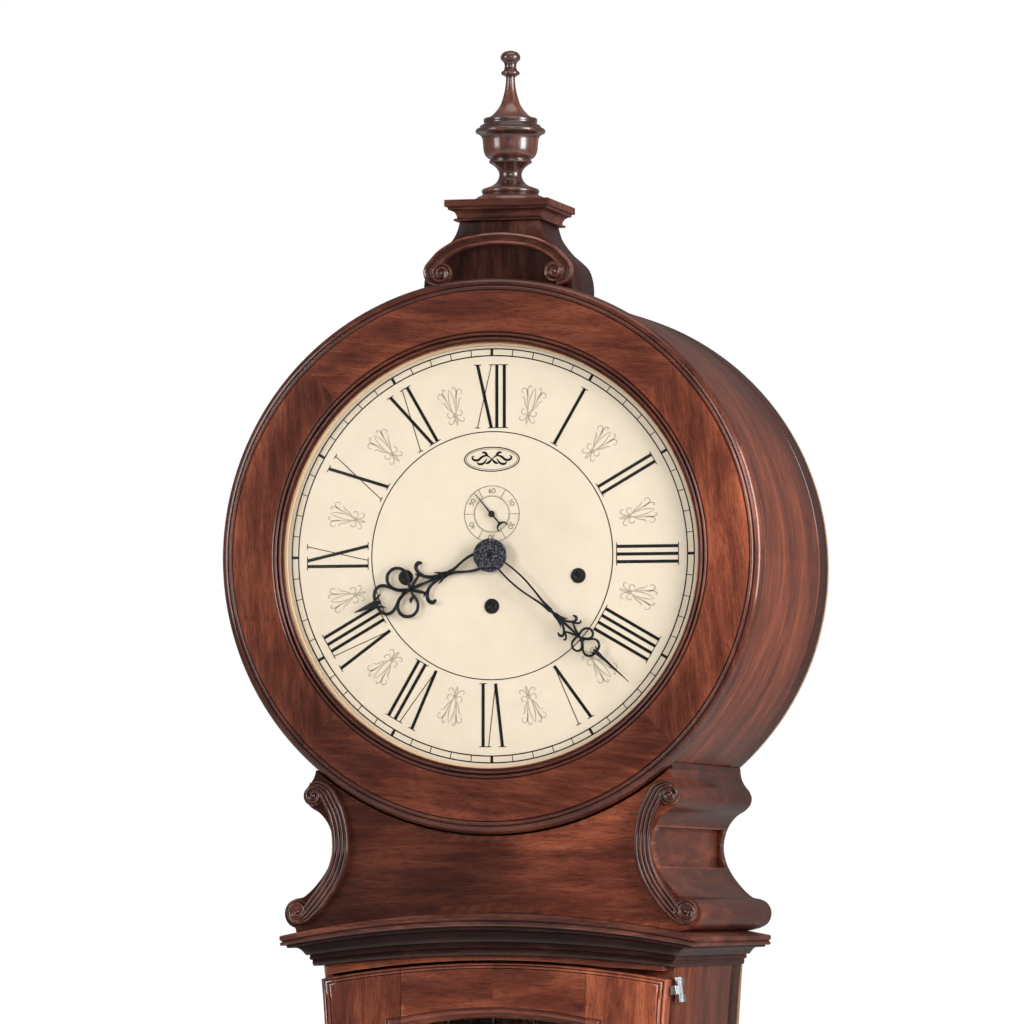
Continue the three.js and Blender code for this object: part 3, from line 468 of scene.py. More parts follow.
def wood(name, slot, dark, mid, light, gloss=0.12, sheen=0.12, polish=0.16):
    """Stained and lacquered wood: clouded figure, streaks and pores along the grain, and the tone: glazing in
    the hollows, with painted light and painted shade.
    """
    g = new_graph(name, slot)
    grain, tone, shine = g.attribute("grain", "Vector"), g.attribute("tone"), g.attribute("shine")
    cloud = g.noise(grain, 1.0, (9, 24, 24), 3.0, 0.55, 0.6)
    streak = g.noise(grain, 1.0, (16, 130, 130), 5.0, 0.65, 0.5)
    fibre = g.noise(grain, 1.0, (70, 1100, 1100), 3.0, 0.6)
    pore = g.noise(grain, 1.0, (160, 1500, 1500), 2.0, 0.5)
    figure = g.blend((cloud, 0.4), (streak, 0.38), (fibre, 0.22))
    stain = g.ramp(figure, (0.36, dark), (0.5, mid), (0.63, light))
    pores = g.ramp(pore, (0.36, (0.45, 0.4, 0.4)), (0.44, (1, 1, 1)))
    # the tone brings glazing, painted light and painted shade into the colour
    green, blue = g.math("POWER", tone, 1.08), g.math("POWER", tone, 1.05)
    painted_light_and_glazing = g.node("ShaderNodeCombineColor", {0: tone, 1: green, 2: blue})
    relief = g.blend((fibre, 0.6), (pore, 0.4))
    return g.surface(
        Base_Color=g.multiply(g.multiply(stain, pores, 0.7), painted_light_and_glazing.outputs[0]),
        Roughness=g.spread(streak, 0.34, 0.46), Normal=g.bump(relief, 0.16, 0.0004),
        Specular_IOR_Level=polish, Coat_Weight=g.math("ADD", shine, gloss, True), Coat_Roughness=sheen,
    )


def metal(name, slot, colour, roughness, brushed=(600, 600, 30), worn=0.25, clear=0.0):
    """Polished or brushed metal with faint streaks and tarnish."""
    g = new_graph(name, slot)
    tarnish = g.noise(g.place(), 1.0, (22, 22, 22), 4.0, 0.6)
    lines = g.noise(g.place(), 1.0, brushed, 3.0, 0.6)
    darker = tuple(c * (1 - worn) for c in colour)
    return g.surface(
        Base_Color=g.ramp(tarnish, (0.35, darker), (0.62, colour)), Metallic=1.0,
        Roughness=g.spread(lines, roughness * 0.75, roughness * 1.35), Normal=g.bump(lines, 0.06, 0.0002),
        Coat_Weight=clear,
    )


def paint(name, slot, low, high, roughness, scale=30, bump=0.05, specular=0.5, fine=900):
    """A painted or printed surface with slight mottling."""
    g = new_graph(name, slot)
    broad = g.noise(g.place(), scale, detail=4.0, roughness=0.6)
    speck = g.noise(g.place(), fine, detail=2.0)
    return g.surface(
        Base_Color=g.ramp(g.blend((broad, 0.7), (speck, 0.3)), (0.36, low), (0.64, high)),
        Roughness=g.spread(speck, roughness * 0.85, roughness * 1.15), Normal=g.bump(speck, bump, 0.0002),
        Specular_IOR_Level=specular,
    )


def speckled(name, slot, ground, fleck):
    """Black lacquer on hammered metal, with small bright flecks."""
    g = new_graph(name, slot)
    grit = g.noise(g.place(), 620, detail=2.0, roughness=0.6)
    fine = g.noise(g.place(), 1500, detail=1.0)
    return g.surface(
        Base_Color=g.ramp(grit, (0.5, ground), (0.6, fleck)), Roughness=g.spread(fine, 0.45, 0.7),
        Normal=g.bump(grit, 0.6, 0.0004), Specular_IOR_Level=0.25,
    )


def window(name, slot, tint, roughness, coating=0.06):
    """Thin glass with an anti-glare coating: light passes straight through, and a little is mirrored."""
    g = new_graph(name, slot)
    normal = g.bump(g.noise(g.place(), 9.0, detail=1.0), 0.08, 0.004)
    clear = g.node("ShaderNodeBsdfTransparent", {"Color": (*tint, 1)})
    mirror = g.node("ShaderNodeBsdfGlossy", {"Color": (1, 1, 1, 1), "Roughness": roughness, "Normal": normal})
    fresnel = g.node("ShaderNodeFresnel", {"IOR": 1.5, "Normal": normal}).outputs[0]
    share = g.math("MULTIPLY", fresnel, coating)
    return g.finish(g.node("ShaderNodeMixShader", {0: share, 1: clear.outputs[0], 2: mirror.outputs[0]}))


# Woods are given as dark, middle and light figure; the other colours are linear red, green and blue too.
CHERRY = wood(
    "lacquered_cherry", "cherry", (0.031, 0.0065, 0.0039), (0.088, 0.0200, 0.0100), (0.175, 0.046, 0.0208))
DARK_CHERRY = wood(
    "glazed_cherry", "dark_cherry", (0.010, 0.0032, 0.0025), (0.031, 0.0090, 0.0063), (0.078, 0.0235, 0.0148),
    0.06, 0.12, 0.09)
TURNED_CHERRY = wood(
    "turned_cherry", "dark_cherry", (0.012, 0.0032, 0.0022), (0.052, 0.0125, 0.0070), (0.20, 0.052, 0.025),
    1.0, 0.2, 0.35)
PLAIN_WOOD = wood(
    "plain_wood", "plain_wood", (0.15, 0.075, 0.036), (0.24, 0.135, 0.07), (0.33, 0.2, 0.11), 0.0)
CREAM = paint(
    "dial_paper", "dial_cream", (0.632, 0.530, 0.411), (0.668, 0.564, 0.445), 0.6, 55, 0.05, 0.2, 500)
INK = paint("black_ink", "black_steel", (0.004, 0.003, 0.003), (0.012, 0.010, 0.009), 0.6, 200, specular=0.12)
SOFT_INK = paint("soft_ink", "black_steel", (0.13, 0.11, 0.085), (0.20, 0.17, 0.13), 0.6, 240)
GREY_INK = paint("grey_ink", "black_steel", (0.33, 0.275, 0.20), (0.43, 0.36, 0.27), 0.6, 260)
BLUED = paint("black_steel", "black_steel", (0.005, 0.005, 0.006), (0.014, 0.013, 0.015), 0.36, 120, 0.1, 0.2)
HAMMERED = speckled("hammered_black", "black_steel", (0.003, 0.003, 0.006), (0.10, 0.10, 0.125))
GLASS = window("clear_glass", "glass", (0.993, 0.998, 0.996), 0.3)
BRASS = metal("brass", "brass", (0.80, 0.56, 0.25), 0.24)
BRUSHED_BRASS = metal("brushed_brass", None, (0.74, 0.53, 0.25), 0.34, (40, 900, 900), 0.18)
POLISHED_BRASS = metal("polished_brass", "brass", (0.86, 0.62, 0.28), 0.13, (90, 90, 700), 0.12, 0.3)
SATIN_BRASS = paint("satin_brass", "brass", (0.62, 0.40, 0.22), (0.70, 0.47, 0.27), 0.5, 40, 0.03, 0.4)
CHROME = metal("chrome", None, (0.66, 0.67, 0.70), 0.28)
STEEL = metal("steel", "steel", (0.50, 0.50, 0.51), 0.3)
CABLE = metal("wire_rope", "steel", (0.42, 0.42, 0.43), 0.32, (900, 900, 900), 0.4)
IRON = paint("cast_iron", None, (0.012, 0.012, 0.013), (0.035, 0.034, 0.034), 0.6, 90, 0.4)
FLOOR_PAINT = paint("floor_paint", None, (0.80, 0.79, 0.775), (0.83, 0.82, 0.805), 0.7, 3, 0.02, 0.2)

# ------------------------------------------------------------------ camera, light and stage

LIGHTS = (                    # name, place, what it points at, width and height, watts
    ("key", (-2.9, -2.9, 2.6), (0, 0, 1.6), (1.4, 2.4), 104),
    ("side", (3.3, -1.3, 2.3), (0, 0, 1.6), (1.4, 2.4), 190),
    ("front_fill", (1.9, -5.6, 3.2), (0, 0, 1.5), (3.0, 1.6), 100),
    ("top", (0.2, -0.6, 4.2), (0, 0, 1.5), (2.4, 1.6), 25),
    ("back_fill", (-1.8, 4.6, 3.0), (0, 0, 1.0), (3.0, 2.0), 80),
)


def place_camera():
    camera = bpy.data.cameras.new("camera")
    camera.lens, camera.sensor_width = 256.8, 36
    camera.clip_start, camera.clip_end = 0.1, 60
    eye = add_to_scene("camera", camera)
    eye.location = (1.4323, -5.8340, 1.4289)
    eye.rotation_euler = (math.radians(93.1), 0, math.radians(13.9))
    bpy.context.scene.camera = eye


def light_the_scene():
    for name, place, target, size, power in LIGHTS:
        lamp = bpy.data.lights.new(name, "AREA")
        lamp.shape, lamp.size, lamp.size_y, lamp.energy = "RECTANGLE", *size, power
        obj = add_to_scene(name, lamp)
        obj.location = place
        obj.visible_glossy = name != "back_fill"
        obj.rotation_euler = (Vector(target) - Vector(place)).to_track_quat("-Z", "Y").to_euler()

    # The room is dim, and dimmest in front of the clock, as its lacquer mirrors it; the backdrop is white.
    g = Graph(bpy.data.worlds.new("studio"), "ShaderNodeOutputWorld")
    direction = g.node("ShaderNodeTexCoord").outputs["Generated"]
    ahead = g.node("ShaderNodeSeparateXYZ", {0: direction}).outputs["Y"]
    seen = g.node("ShaderNodeLightPath").outputs["Is Camera Ray"]
    room = g.spread(ahead, 0.05, 0.22, -0.75, 0.15)
    strength = g.node("ShaderNodeMix", {0: seen, 2: room, 3: 1.0}).outputs[0]
    background = g.node("ShaderNodeBackground", {"Color": (1, 1, 1, 1), "Strength": strength})
    bpy.context.scene.world = g.finish(background)
    bpy.context.scene.view_settings.view_transform = "Standard"


def lay_the_floor():
    floor = bpy.data.meshes.new("floor")
    corners = [(x, y, -0.0005) for x, y in ((-9, -9), (9, -9), (9, 9), (-9, 9))]
    floor.from_pydata(corners, [], [(0, 1, 2, 3)])
    floor.materials.append(FLOOR_PAINT)
    floor_obj = add_to_scene("floor", floor)


place_camera()
light_the_scene()
lay_the_floor()

# ------------------------------------------------------------------ dial door

RING_R, BORE_R, GLASS_R, DIAL_R = 225, 172, 175.1, 184
# Painted light and shade on the ring's veneers at each eighth of a turn, anticlockwise from the right:
# lightest on the right, where the light falls.
RING_PAINTED_LIGHT = (1.85, 1.15, 0.9, 0.98, 1.1, 0.66, 0.96, 0.76)


def ring_grain(centre):
    """Each quarter of the ring is its own veneer, with straight grain across its middle."""
    x, _, z = place_of(centre)
    quarter = int(((math.degrees(math.atan2(z, x)) + 45) % 360) // 90)
    along = math.radians(quarter * 90 + 90 + (6, -4, 3, -7)[quarter])
    c, s = math.cos(along), math.sin(along)
    return Matrix(((c, 0, s), (0, 1, 0), (-s, 0, c))), Vector((quarter * 1.7, quarter * 0.9, 0))


def ring_tone(centre):
    """The veneers are painted lighter and darker round the ring, as light falls on them, and the turned
    mouldings are glazed darker than the face.
    """
    x, _, z = place_of(centre)
    eighths = math.degrees(math.atan2(z, x)) % 360 / 45
    i = int(eighths) % 8
    share = smoothed(eighths - int(eighths))
    shade = RING_PAINTED_LIGHT[i] * (1 - share) + RING_PAINTED_LIGHT[(i + 1) % 8] * share
    return shade * (1.0 if 183.5 < math.hypot(x, z) < 213.5 else 0.62)


def make_dial_door():
    outer = [(RING_R - 0.6, 17.9)] + arc(RING_R - 3, 14.6, 3, 60, 0, 3) + [(RING_R, 11.5)]
    cove = [(RING_R - 0.1, 6.5), (RING_R - 0.8, 4.2), (RING_R - 2.6, 2.2), (RING_R - 4.6, 1.3),
            (RING_R - 5.6, 1.2)]
    fillet = [(RING_R - 5.8, 1.6), (RING_R - 6.7, 1.6), (RING_R - 6.9, 0.9)]
    fillet += arc(RING_R - 8.3, 1.3, 1.3, -20, -160, 4)
    face = [(RING_R - 10.2, 1.1), (RING_R - 10.6, 0.35), (RING_R - 20, 0.1), (RING_R - 34, 0.1), (181.4, 0.2)]
    bead = [(180.8, 0.8), (180.5, 1.4), (180.1, 1.4)] + arc(179.0, 1.3, 1.05, -10, -170, 5)
    groove = [(177.8, 1.9), (177.4, 3.2), (176.8, 3.2), (176.5, 1.9)] + arc(175.5, 1.9, 0.95, -20, -160, 4)
    lip = [(174.4, 2.2), (174.1, 2.7), (173.0, 2.7), (172.3, 2.9), (172.0, 3.6), (172.0, 3.8)]
    rebates = [(176, 3.8), (176, 9.2), (186.5, 9.2), (186.5, 17.9)]
    section = outer + cove + fillet + face + bead + groove + lip + rebates
    shells = Shells().turned(section, 0, 0, 192)
    piece("door_ring", shells, CHERRY, "dial_door", "dial_door_ring", ring_grain, ring_tone)

    rise = 22.1
    radius = (171 ** 2 + rise ** 2) / (2 * rise)

    def dome(lift, r):
        return -18 + lift + radius - math.sqrt(radius ** 2 - r ** 2)

    radii = [171 * i / 24 for i in range(24, -1, -1)]
    section = [(GLASS_R, 6.6), (GLASS_R, 4.1)] + [(r, dome(0, r)) for r in radii]
    section += [(r, dome(2.5, r)) for r in reversed(radii)]
    piece("door_glass", Shells().turned(section, 0, 0, 128), GLASS, "dial_door", "dial_glass", crease=60)

    section = eased([(170.5, 6.9), (GLASS_R, 6.9), (GLASS_R, 8.9), (170.5, 8.9)], 0.5)
    piece("glass_ring", Shells().turned(section, 0, 0, 128), SATIN_BRASS, "dial_door", "glass_retainer")


make_dial_door()

# ------------------------------------------------------------------ dial: print, grommets, face

PRINT_FRONT, PRINT_BACK = 10.84, 10.97
SECONDS_Z = 33.6              # height of the seconds arbor
WINDINGS = (("strike", -71.8, -17), ("time", 0, -41), ("chime", 71.8, -17))


def stroke(shells, points, half, front=PRINT_FRONT):
    """A printed line of even or changing half width, as a thin closed strip."""
    rows = []
    for (x, z), side in sides_along(points, half):
        rows.append([at(x + side.x * s, depth, z + side.y * s)
                     for s, depth in ((-1, PRINT_BACK), (-1, front), (1, front), (1, PRINT_BACK))])
    shells.skin(rows, caps=True)


def printed_circle(shells, radius, half, x=0, z=0, steps=144):
    inner, outer = radius - half, radius + half
    section = [(inner, PRINT_FRONT), (outer, PRINT_FRONT), (outer, PRINT_BACK), (inner, PRINT_BACK)]
    shells.turned(section, x, z, steps)


THICK, THIN = 1.3, 0.32       # half widths of a numeral's strokes
NUMERAL_FOOT, NUMERAL_HEAD = 103.5, 154.5
# Strokes of each numeral: (position at the foot, position at the head, half width), across the numeral.
STROKES = {
    "I": (6.2, [(0, 0, THICK)]),
    "V": (14.5, [(0, -5.8, THICK), (0, 5.8, THIN)]),
    "X": (14.5, [(5.8, -5.8, THICK), (-5.8, 5.8, THIN)]),
}
NUMERALS = ("XII", "I", "II", "III", "IIII", "V", "VI", "VII", "VIII", "IX", "X", "XI")


def numeral(shells, text, degrees):
    """A tall Roman numeral that stands on the inner circle with its head outward."""
    place = turn_by(degrees)
    widths = [STROKES[c][0] for c in text]
    left = -sum(widths) / 2
    for c, width in zip(text, widths):
        middle = left + width / 2
        left += width
        for foot, head, half in STROKES[c][1]:
            low, high = (middle + foot, NUMERAL_FOOT), (middle + head, NUMERAL_HEAD)
            stroke(shells, [place(*low), place(*high)], half)
            for end, v in ((foot, NUMERAL_FOOT), (head, NUMERAL_HEAD)):
                if c != "V" or v == NUMERAL_HEAD:       # a V stands on its point
                    reach = 3.1 if half == THICK else 2.2
                    stroke(shells, [place(middle + end - reach, v), place(middle + end + reach, v)], 0.34)


def fleur(shells, degrees):
    """A small printed ornament between two numerals: leaves over a tied stem, with curls on each side."""
    place = turn_by(degrees)
    for side in (-1, 1):
        leaves = [
            [(0.2, 118), (1.9, 124), (2.4, 131), (1.6, 138), (0.2, 143)],
            [(0.9, 119), (2.9, 124), (4.2, 131), (5.2, 137), (8.0, 141), (10.6, 140), (10.9, 136.8),
             (8.9, 135.8)],
            [(2.6, 122), (5.4, 127), (7.2, 131.5), (9.8, 133)],
            [(4.6, 133), (6.2, 139), (5.6, 143.5), (3.8, 144.2), (3.6, 142)],
            [(1.2, 118.4), (4.4, 116.6), (6.6, 118.4), (6.4, 121.4), (4.6, 121.6)],
            [(0.6, 117.6), (2.4, 113), (5.0, 110.6), (7.2, 112.2), (6.2, 114.4)],
            [(0.2, 117.6), (0.9, 113), (0.2, 108)],
        ]
        for leaf in leaves:
            run = spline([(u * 0.92, 118 + (v - 118) * 0.86) for u, v in leaf], 4)
            stroke(shells, [place(u * side, v) for u, v in run], swelling(run, 0.18, 0.3), 10.9)
    for v, reach in ((117.4, 2.0), (118.9, 2.2)):
        stroke(shells, [place(-reach, v), place(reach, v)], 0.26, 10.9)


DIGITS = {
    "0": [arc(0, 0.5, 0.5, 90, 450, 12)],
    "1": [[(-0.18, 0.8), (0.05, 1.0), (0.05, 0.0)]],
    "2": [spline([(-0.3, 0.75), (0, 1.0), (0.3, 0.72), (-0.32, 0.0)], 3) + [(0.34, 0.0)]],
    "3": [spline([(-0.3, 0.9), (0.1, 1.0), (0.25, 0.75), (0, 0.54), (0.3, 0.25), (0, 0), (-0.32, 0.12)], 3)],
    "4": [[(0.15, 0.0), (0.15, 1.0), (-0.35, 0.3), (0.35, 0.3)]],
    "5": [[(0.28, 1.0), (-0.22, 1.0)]
          + spline([(-0.26, 0.58), (0.1, 0.62), (0.3, 0.3), (0, 0), (-0.3, 0.1)], 3)],
    "6": [spline([(0.25, 0.95), (-0.2, 0.7), (-0.28, 0.25), (0, 0), (0.28, 0.28), (0, 0.52),
                  (-0.26, 0.3)], 3)],
}


def make_print():
    printed = Shells()
    for radius, half in ((100.4, 0.4), (162, 0.5), (167.5, 0.5)):
        printed_circle(printed, radius, half)
    for minute in range(60):
        place = turn_by(minute * 6)
        stroke(printed, [place(0, 162), place(0, 167.5)], 0.32 if minute % 5 else 1.15)
    for hour, text in enumerate(NUMERALS):
        numeral(printed, text, hour * 30)

    # An oval with a plain leaf scroll under the twelve.
    for half_wide, half_high, half in ((22.8, 9.7, 0.42), (21.2, 8.34, 0.16)):
        angles = (math.radians(5 * i) for i in range(73))
        stroke(printed, [(half_wide * math.cos(a), 78 + half_high * math.sin(a)) for a in angles], half)
    for side in (-1, 1):
        for bough in (
            [(0, 78), (4, 81), (8, 80), (11.5, 77.4), (15, 77.6), (16.4, 79.8), (14.6, 80.8)],
            [(3, 79.8), (5.4, 83.2), (8.4, 83.4)],
            [(4, 78.6), (7.2, 74.6), (10.8, 74.2), (12.4, 75.8)],
            [(0, 78), (2.6, 75.4), (5.4, 74.6)],
        ):
            run = spline(bough, 4)
            stroke(printed, [(side * x, z) for x, z in run], swelling(run, 0.25, 0.75))
    piece("dial_print", printed, INK, smooth=False)

    fleurs = Shells()
    for hour in range(12):
        fleur(fleurs, hour * 30 + 15)
    piece("dial_fleurs", fleurs, GREY_INK, smooth=False)


def make_seconds_print():
    seconds = Shells()
    inner, outer = 14.4, 22.8
    printed_circle(seconds, outer, 0.28, z=SECONDS_Z, steps=72)
    printed_circle(seconds, inner, 0.22, z=SECONDS_Z, steps=72)
    for second in range(60):
        place = turn_by(second * 6, z=SECONDS_Z)
        if second % 10 == 5:
            stroke(seconds, [place(0, inner), place(0, outer)], 0.22)
        stroke(seconds, [place(0, inner), place(0, inner + 1.2)], 0.13)
    for tens in range(1, 7):
        place = turn_by(tens * 60, z=SECONDS_Z)
        for i, digit in enumerate(f"{tens}0"):
            for line in DIGITS[digit]:
                stroke(seconds, [place((u * 0.9 + i - 0.5) * 2.9, 17.0 + v * 3.7) for u, v in line], 0.3)
    piece("seconds_print", seconds, SOFT_INK, smooth=False)


def make_windings():
    grommet = [(3.2, 10.3), (5.6, 10.2), (6.2, 10.5), (6.2, 10.95), (5.5, 10.95), (5.5, 12.4), (3.2, 12.4)]
    for name, x, z in WINDINGS:
        piece(f"grommet_{name}", Shells().turned(eased(grommet, 0.3), x, z, 40), BLUED)
        square = [(x - 1.9, z - 1.9), (x + 1.9, z - 1.9), (x + 1.9, z + 1.9), (x - 1.9, z + 1.9)]
        piece(f"winding_square_{name}", Shells().prism(eased(square, 0.3), 12.4, 14.2), BLUED, f"{name}_drum",
              bevel=0.25, slot="steel")


def make_dial_face():
    plate = eased([(6, 11), (DIAL_R, 11), (DIAL_R, 12.5), (6, 12.5)], 0.3)
    holes = [(0, SECONDS_Z, 2.2)] + [(x, z, 5.8) for _, x, z in WINDINGS]
    piece("dial_face", Shells().turned(plate, 0, 0, 160), CREAM, "case", "dial_plate",
          cutters=[Shells().prism(arc(x, z, r, 0, 352.5, 47), 10, 14) for x, z, r in holes])


make_seconds_print()
make_print()
make_windings()
make_dial_face()

# ------------------------------------------------------------------ hands

def widths_along(path, *stops):
    """Half widths along a path, from stops of (share of its length, half width)."""
    lengths = [0.0]
    for a, b in zip(path, path[1:]):
        lengths.append(lengths[-1] + math.dist(a, b))
    out = []
    for length in lengths:
        t = length / lengths[-1]
        for (t0, w0), (t1, w1) in zip(stops, stops[1:]):
            if t <= t1 + 1e-9:
                out.append(w0 + (w1 - w0) * (t - t0) / (t1 - t0))
                break
    return out


def pierced_hand(degrees, front, back, mirrored_strands, middle_strands):
    """A hand built up from strands: (points from the arbor outward, stops of the half width along them)."""
    shells = Shells()
    sides = []
    for side in (-1, 1):
        sides += [([(side * u, v) for u, v in path], stops) for path, stops in mirrored_strands]
    for path, stops in sides + middle_strands:
        run = spline(path, 6)
        shells.ribbon(run, widths_along(run, *stops), front, back, turn_by(degrees))
    return shells


def make_hour_hand():
    front, back = 6.95, 8.0
    shells = pierced_hand(248.4, front, back, [
        ([(6.5, 9), (6.2, 16), (5.0, 22), (3.0, 28), (1.3, 33), (0.9, 38)], [(0, 1.2), (0.5, 1.0), (1, 1.4)]),
        ([(0.8, 39.5), (2.0, 43.5), (3.6, 46), (5.0, 49)], [(0, 1.5), (0.6, 1.0), (1, 0.25)]),
        ([(0.8, 45), (2.6, 52.5), (5.6, 58.0), (10.4, 61.2), (14.8, 61.4), (17.2, 58.8), (16.0, 55.4)],
         [(0, 1.5), (0.35, 1.3), (0.75, 1.6), (0.9, 1.7), (1, 1.0)]),
        ([(9.0, 60.4), (6.4, 63.6), (3.6, 67.6), (0.8, 72)], [(0, 0.9), (0.4, 1.3), (1, 1.4)]),
        ([(6.6, 59.2), (8.4, 62.6), (10.4, 64.4)], [(0, 1.2), (0.5, 1.0), (1, 0.25)]),
        ([(0.8, 72), (4.6, 72.0), (8.0, 71.0), (13.0, 70.6), (18.4, 73.6), (20.6, 79.6), (18.0, 85.6),
          (12.4, 87.8), (6.8, 86.0), (2.8, 81.0), (0.8, 75.5)],
         [(0, 1.2), (0.2, 1.2), (0.6, 1.4), (0.85, 1.2), (1, 1.3)]),
        ([(6.2, 71.4), (8.4, 75.0), (11.0, 75.8)], [(0, 1.3), (0.6, 1.6), (1, 0.4)]),
        ([(0.9, 77), (3.6, 83), (7.8, 87.6), (11.4, 92.8), (11.2, 98.4), (6.8, 102.2), (1.6, 103.2)],
         [(0, 1.3), (0.55, 1.4), (1, 1.3)]),
        ([(3.4, 103.0), (4.2, 99.8), (6.0, 96.8)], [(0, 1.3), (0.5, 1.0), (1, 0.25)]),
    ], [
        ([(0, 36), (0, 42), (0, 50), (0, 60), (0, 72)], [(0, 1.9), (0.3, 1.5), (0.6, 1.1), (1, 1.6)]),
        ([(0, 70), (0, 75), (0, 80)], [(0, 1.9), (1, 1.6)]),
        ([(0, 99), (0, 103), (0, 108), (0, 115), (0, 123)], [(0, 1.0), (0.18, 2.9), (0.4, 2.4), (1, 0.25)]),
    ])
    hub = [(5.3, front), (9.0, front), (9.0, back), (5.3, back)]
    shells.turned(eased(hub, 0.3), 0, 0, 48)
    piece("hour_hand_pierced", shells, BLUED, "hour_work", "hour_hand")


def make_minute_hand():
    shells = pierced_hand(131.9, 4.15, 5.2, [
        ([(3.6, 12), (4.6, 24), (4.3, 36), (2.8, 48), (1.2, 58), (0.8, 68)],
         [(0, 0.72), (0.6, 0.78), (1, 1.1)]),
        ([(0.6, 72), (1.4, 77), (3.0, 80.5), (4.6, 82.8)], [(0, 1.3), (0.6, 1.0), (1, 0.2)]),
        ([(0.5, 78), (2.4, 83.4), (5.4, 87.4), (8.4, 88.6), (10.0, 86.6), (9.2, 84.0)],
         [(0, 1.1), (0.6, 0.95), (0.85, 1.2), (1, 0.5)]),
        ([(5.2, 87.2), (3.8, 90.0), (2.0, 94.0), (0.6, 98.2)], [(0, 0.7), (0.4, 0.9), (1, 1.0)]),
        ([(4.6, 86.6), (6.6, 90.6), (9.4, 92.6), (10.4, 91.0)], [(0, 0.8), (0.6, 0.9), (1, 0.5)]),
        ([(0.5, 98.6), (3.6, 97.8), (7.6, 98.4), (10.4, 101.6), (9.8, 105.8), (6.6, 107.4), (3.2, 105.6),
          (0.9, 101.8)], [(0, 0.9), (0.6, 0.95), (1, 0.9)]),
        ([(0.6, 103), (3.2, 106.4), (6.2, 109.2), (7.4, 112.8), (5.6, 116.6), (1.6, 118.2)],
         [(0, 0.9), (0.6, 0.95), (1, 1.0)]),
        ([(1.8, 118.2), (2.4, 116.0), (3.6, 114.2)], [(0, 1.0), (0.5, 0.7), (1, 0.2)]),
    ], [
        ([(0, 62), (0, 72), (0, 82), (0, 98)], [(0, 1.2), (0.4, 1.3), (1, 0.9)]),
        ([(0, 96), (0, 100), (0, 105)], [(0, 1.3), (1, 1.0)]),
        ([(0, 115), (0, 118.5), (0, 124), (0, 138), (0, 154.6)],
         [(0, 0.7), (0.12, 1.8), (0.25, 1.25), (1, 0.25)]),
    ])
    piece("minute_hand_pierced", shells, BLUED, "minute_work", "minute_hand")


def make_hand_boss():
    """The hammered boss that holds both hands on the arbor."""
    radius, rings, spokes = 13.7, 26, 72
    turns = [2 * math.pi * k / spokes for k in range(spokes)]
    rows = []
    for i in range(rings + 1):
        r = radius * i / rings
        crown = 1.6 * (1 - (r / radius) ** 2) ** 0.5 if r < radius else 0
        row = []
        for a in turns:
            pit = math.sin(r * 3.4 + 3.1 * math.sin(a * 5)) * math.sin(a * 15 + r * 1.3 + 2 * math.sin(r))
            depth = 3.7 - crown + (pit * 0.5 if 0.5 < r < 12.9 else 0)
            row.append(at(r * math.cos(a), max(1.55, depth), r * math.sin(a)))
        rows.append(row)
    rows += [[at(r * math.cos(a), 5.2, r * math.sin(a)) for a in turns] for r in (radius, 3.2)]
    piece("hand_boss", Shells().skin(rows, caps=True), HAMMERED, "minute_work", crease=70)


def make_seconds_hand():
    place = turn_by(319.7, 0, SECONDS_Z)
    shells = Shells()
    front, back = 9.15, 9.9
    run = [(0, -11), (0, -4), (0, 4), (0, 22)]
    shells.ribbon(run, widths_along(run, (0, 0.6), (0.45, 0.65), (1, 0.25)), front, back, place, 0.15)
    tail = spline([(-4.3, -15.6), (-3.9, -12.2), (0, -10.4), (3.9, -12.2), (4.3, -15.6)], 5)
    shells.ribbon(tail, widths_along(tail, (0, 0.25), (0.5, 1.05), (1, 0.25)), front, back, place, 0.15)
    shells.turned(eased([(1.3, 8.75), (2.5, 8.9), (2.7, 9.3), (2.7, 9.9), (1.3, 9.9)], 0.3), 0, SECONDS_Z, 32)
    piece("seconds_hand_pierced", shells, BLUED, "seconds_work", "seconds_hand")


make_hour_hand()
make_minute_hand()
make_hand_boss()
make_seconds_hand()

# ------------------------------------------------------------------ carving

def carved_strip(shells, path, half, front, back, reeds):
    """A moulding along a path in elevation. reeds is its section: (share across, share of depth set back)."""
    rows = []
    for (x, z), side in sides_along(path, half):
        rows.append([at(x + side.x * s, front + (back - front) * d, z + side.y * s) for s, d in reeds])
    shells.skin(rows, caps=True)


def volute(shells, x, z, radius, front, back, hand, start):
    """A carved curl: a disc with a raised rim that winds inwards to a button."""
    dish = [(0.02, back), (radius, back), (radius, front + 1.6), (radius - 0.7, front + 0.7)]
    shells.turned(dish + [(radius - 2.2, front + 1.9), (0.02, front + 2.3)], x, z, 48)
    turns, steps = 1.25, 44
    rows = []
    for i in range(steps + 1):
        t = i / steps
        angle = math.radians(start) + hand * 2 * math.pi * turns * t
        c, s = math.cos(angle), math.sin(angle)
        bead = arc((radius - 1.15) * (1 - 0.72 * t), front + 1.25 - 0.27 * t, 1.25 - 0.35 * t, 0, -324, 9)
        rows.append([at(x + r * c, depth, z + r * s) for r, depth in bead])
    shells.skin(rows, caps=True)
    dome = [(1.9 * math.sin(a), front + 2.1 - 2 * math.cos(a)) for a in map(math.radians, (25, 50, 75, 90))]
    shells.turned([(0.02, front + 0.1)] + dome + [(1.9, front + 2.6), (0.02, front + 2.6)], x, z, 20)


# ------------------------------------------------------------------ head

DRUM_R = 222
CASE_BACK = 284               # depth of the case's back edge; the back board closes it


def drum_tone(centre):
    """The drum is painted lightest at the height of the dial's centre, with painted shade towards its top and
    bottom, and its back band is glazed dark.
    """
    _, depth, z = place_of(centre)
    if depth > 250:
        return 0.5
    return 1.38 - 0.8 * (z / DRUM_R) ** 2 - (0.15 if z > 0 else 0.0)


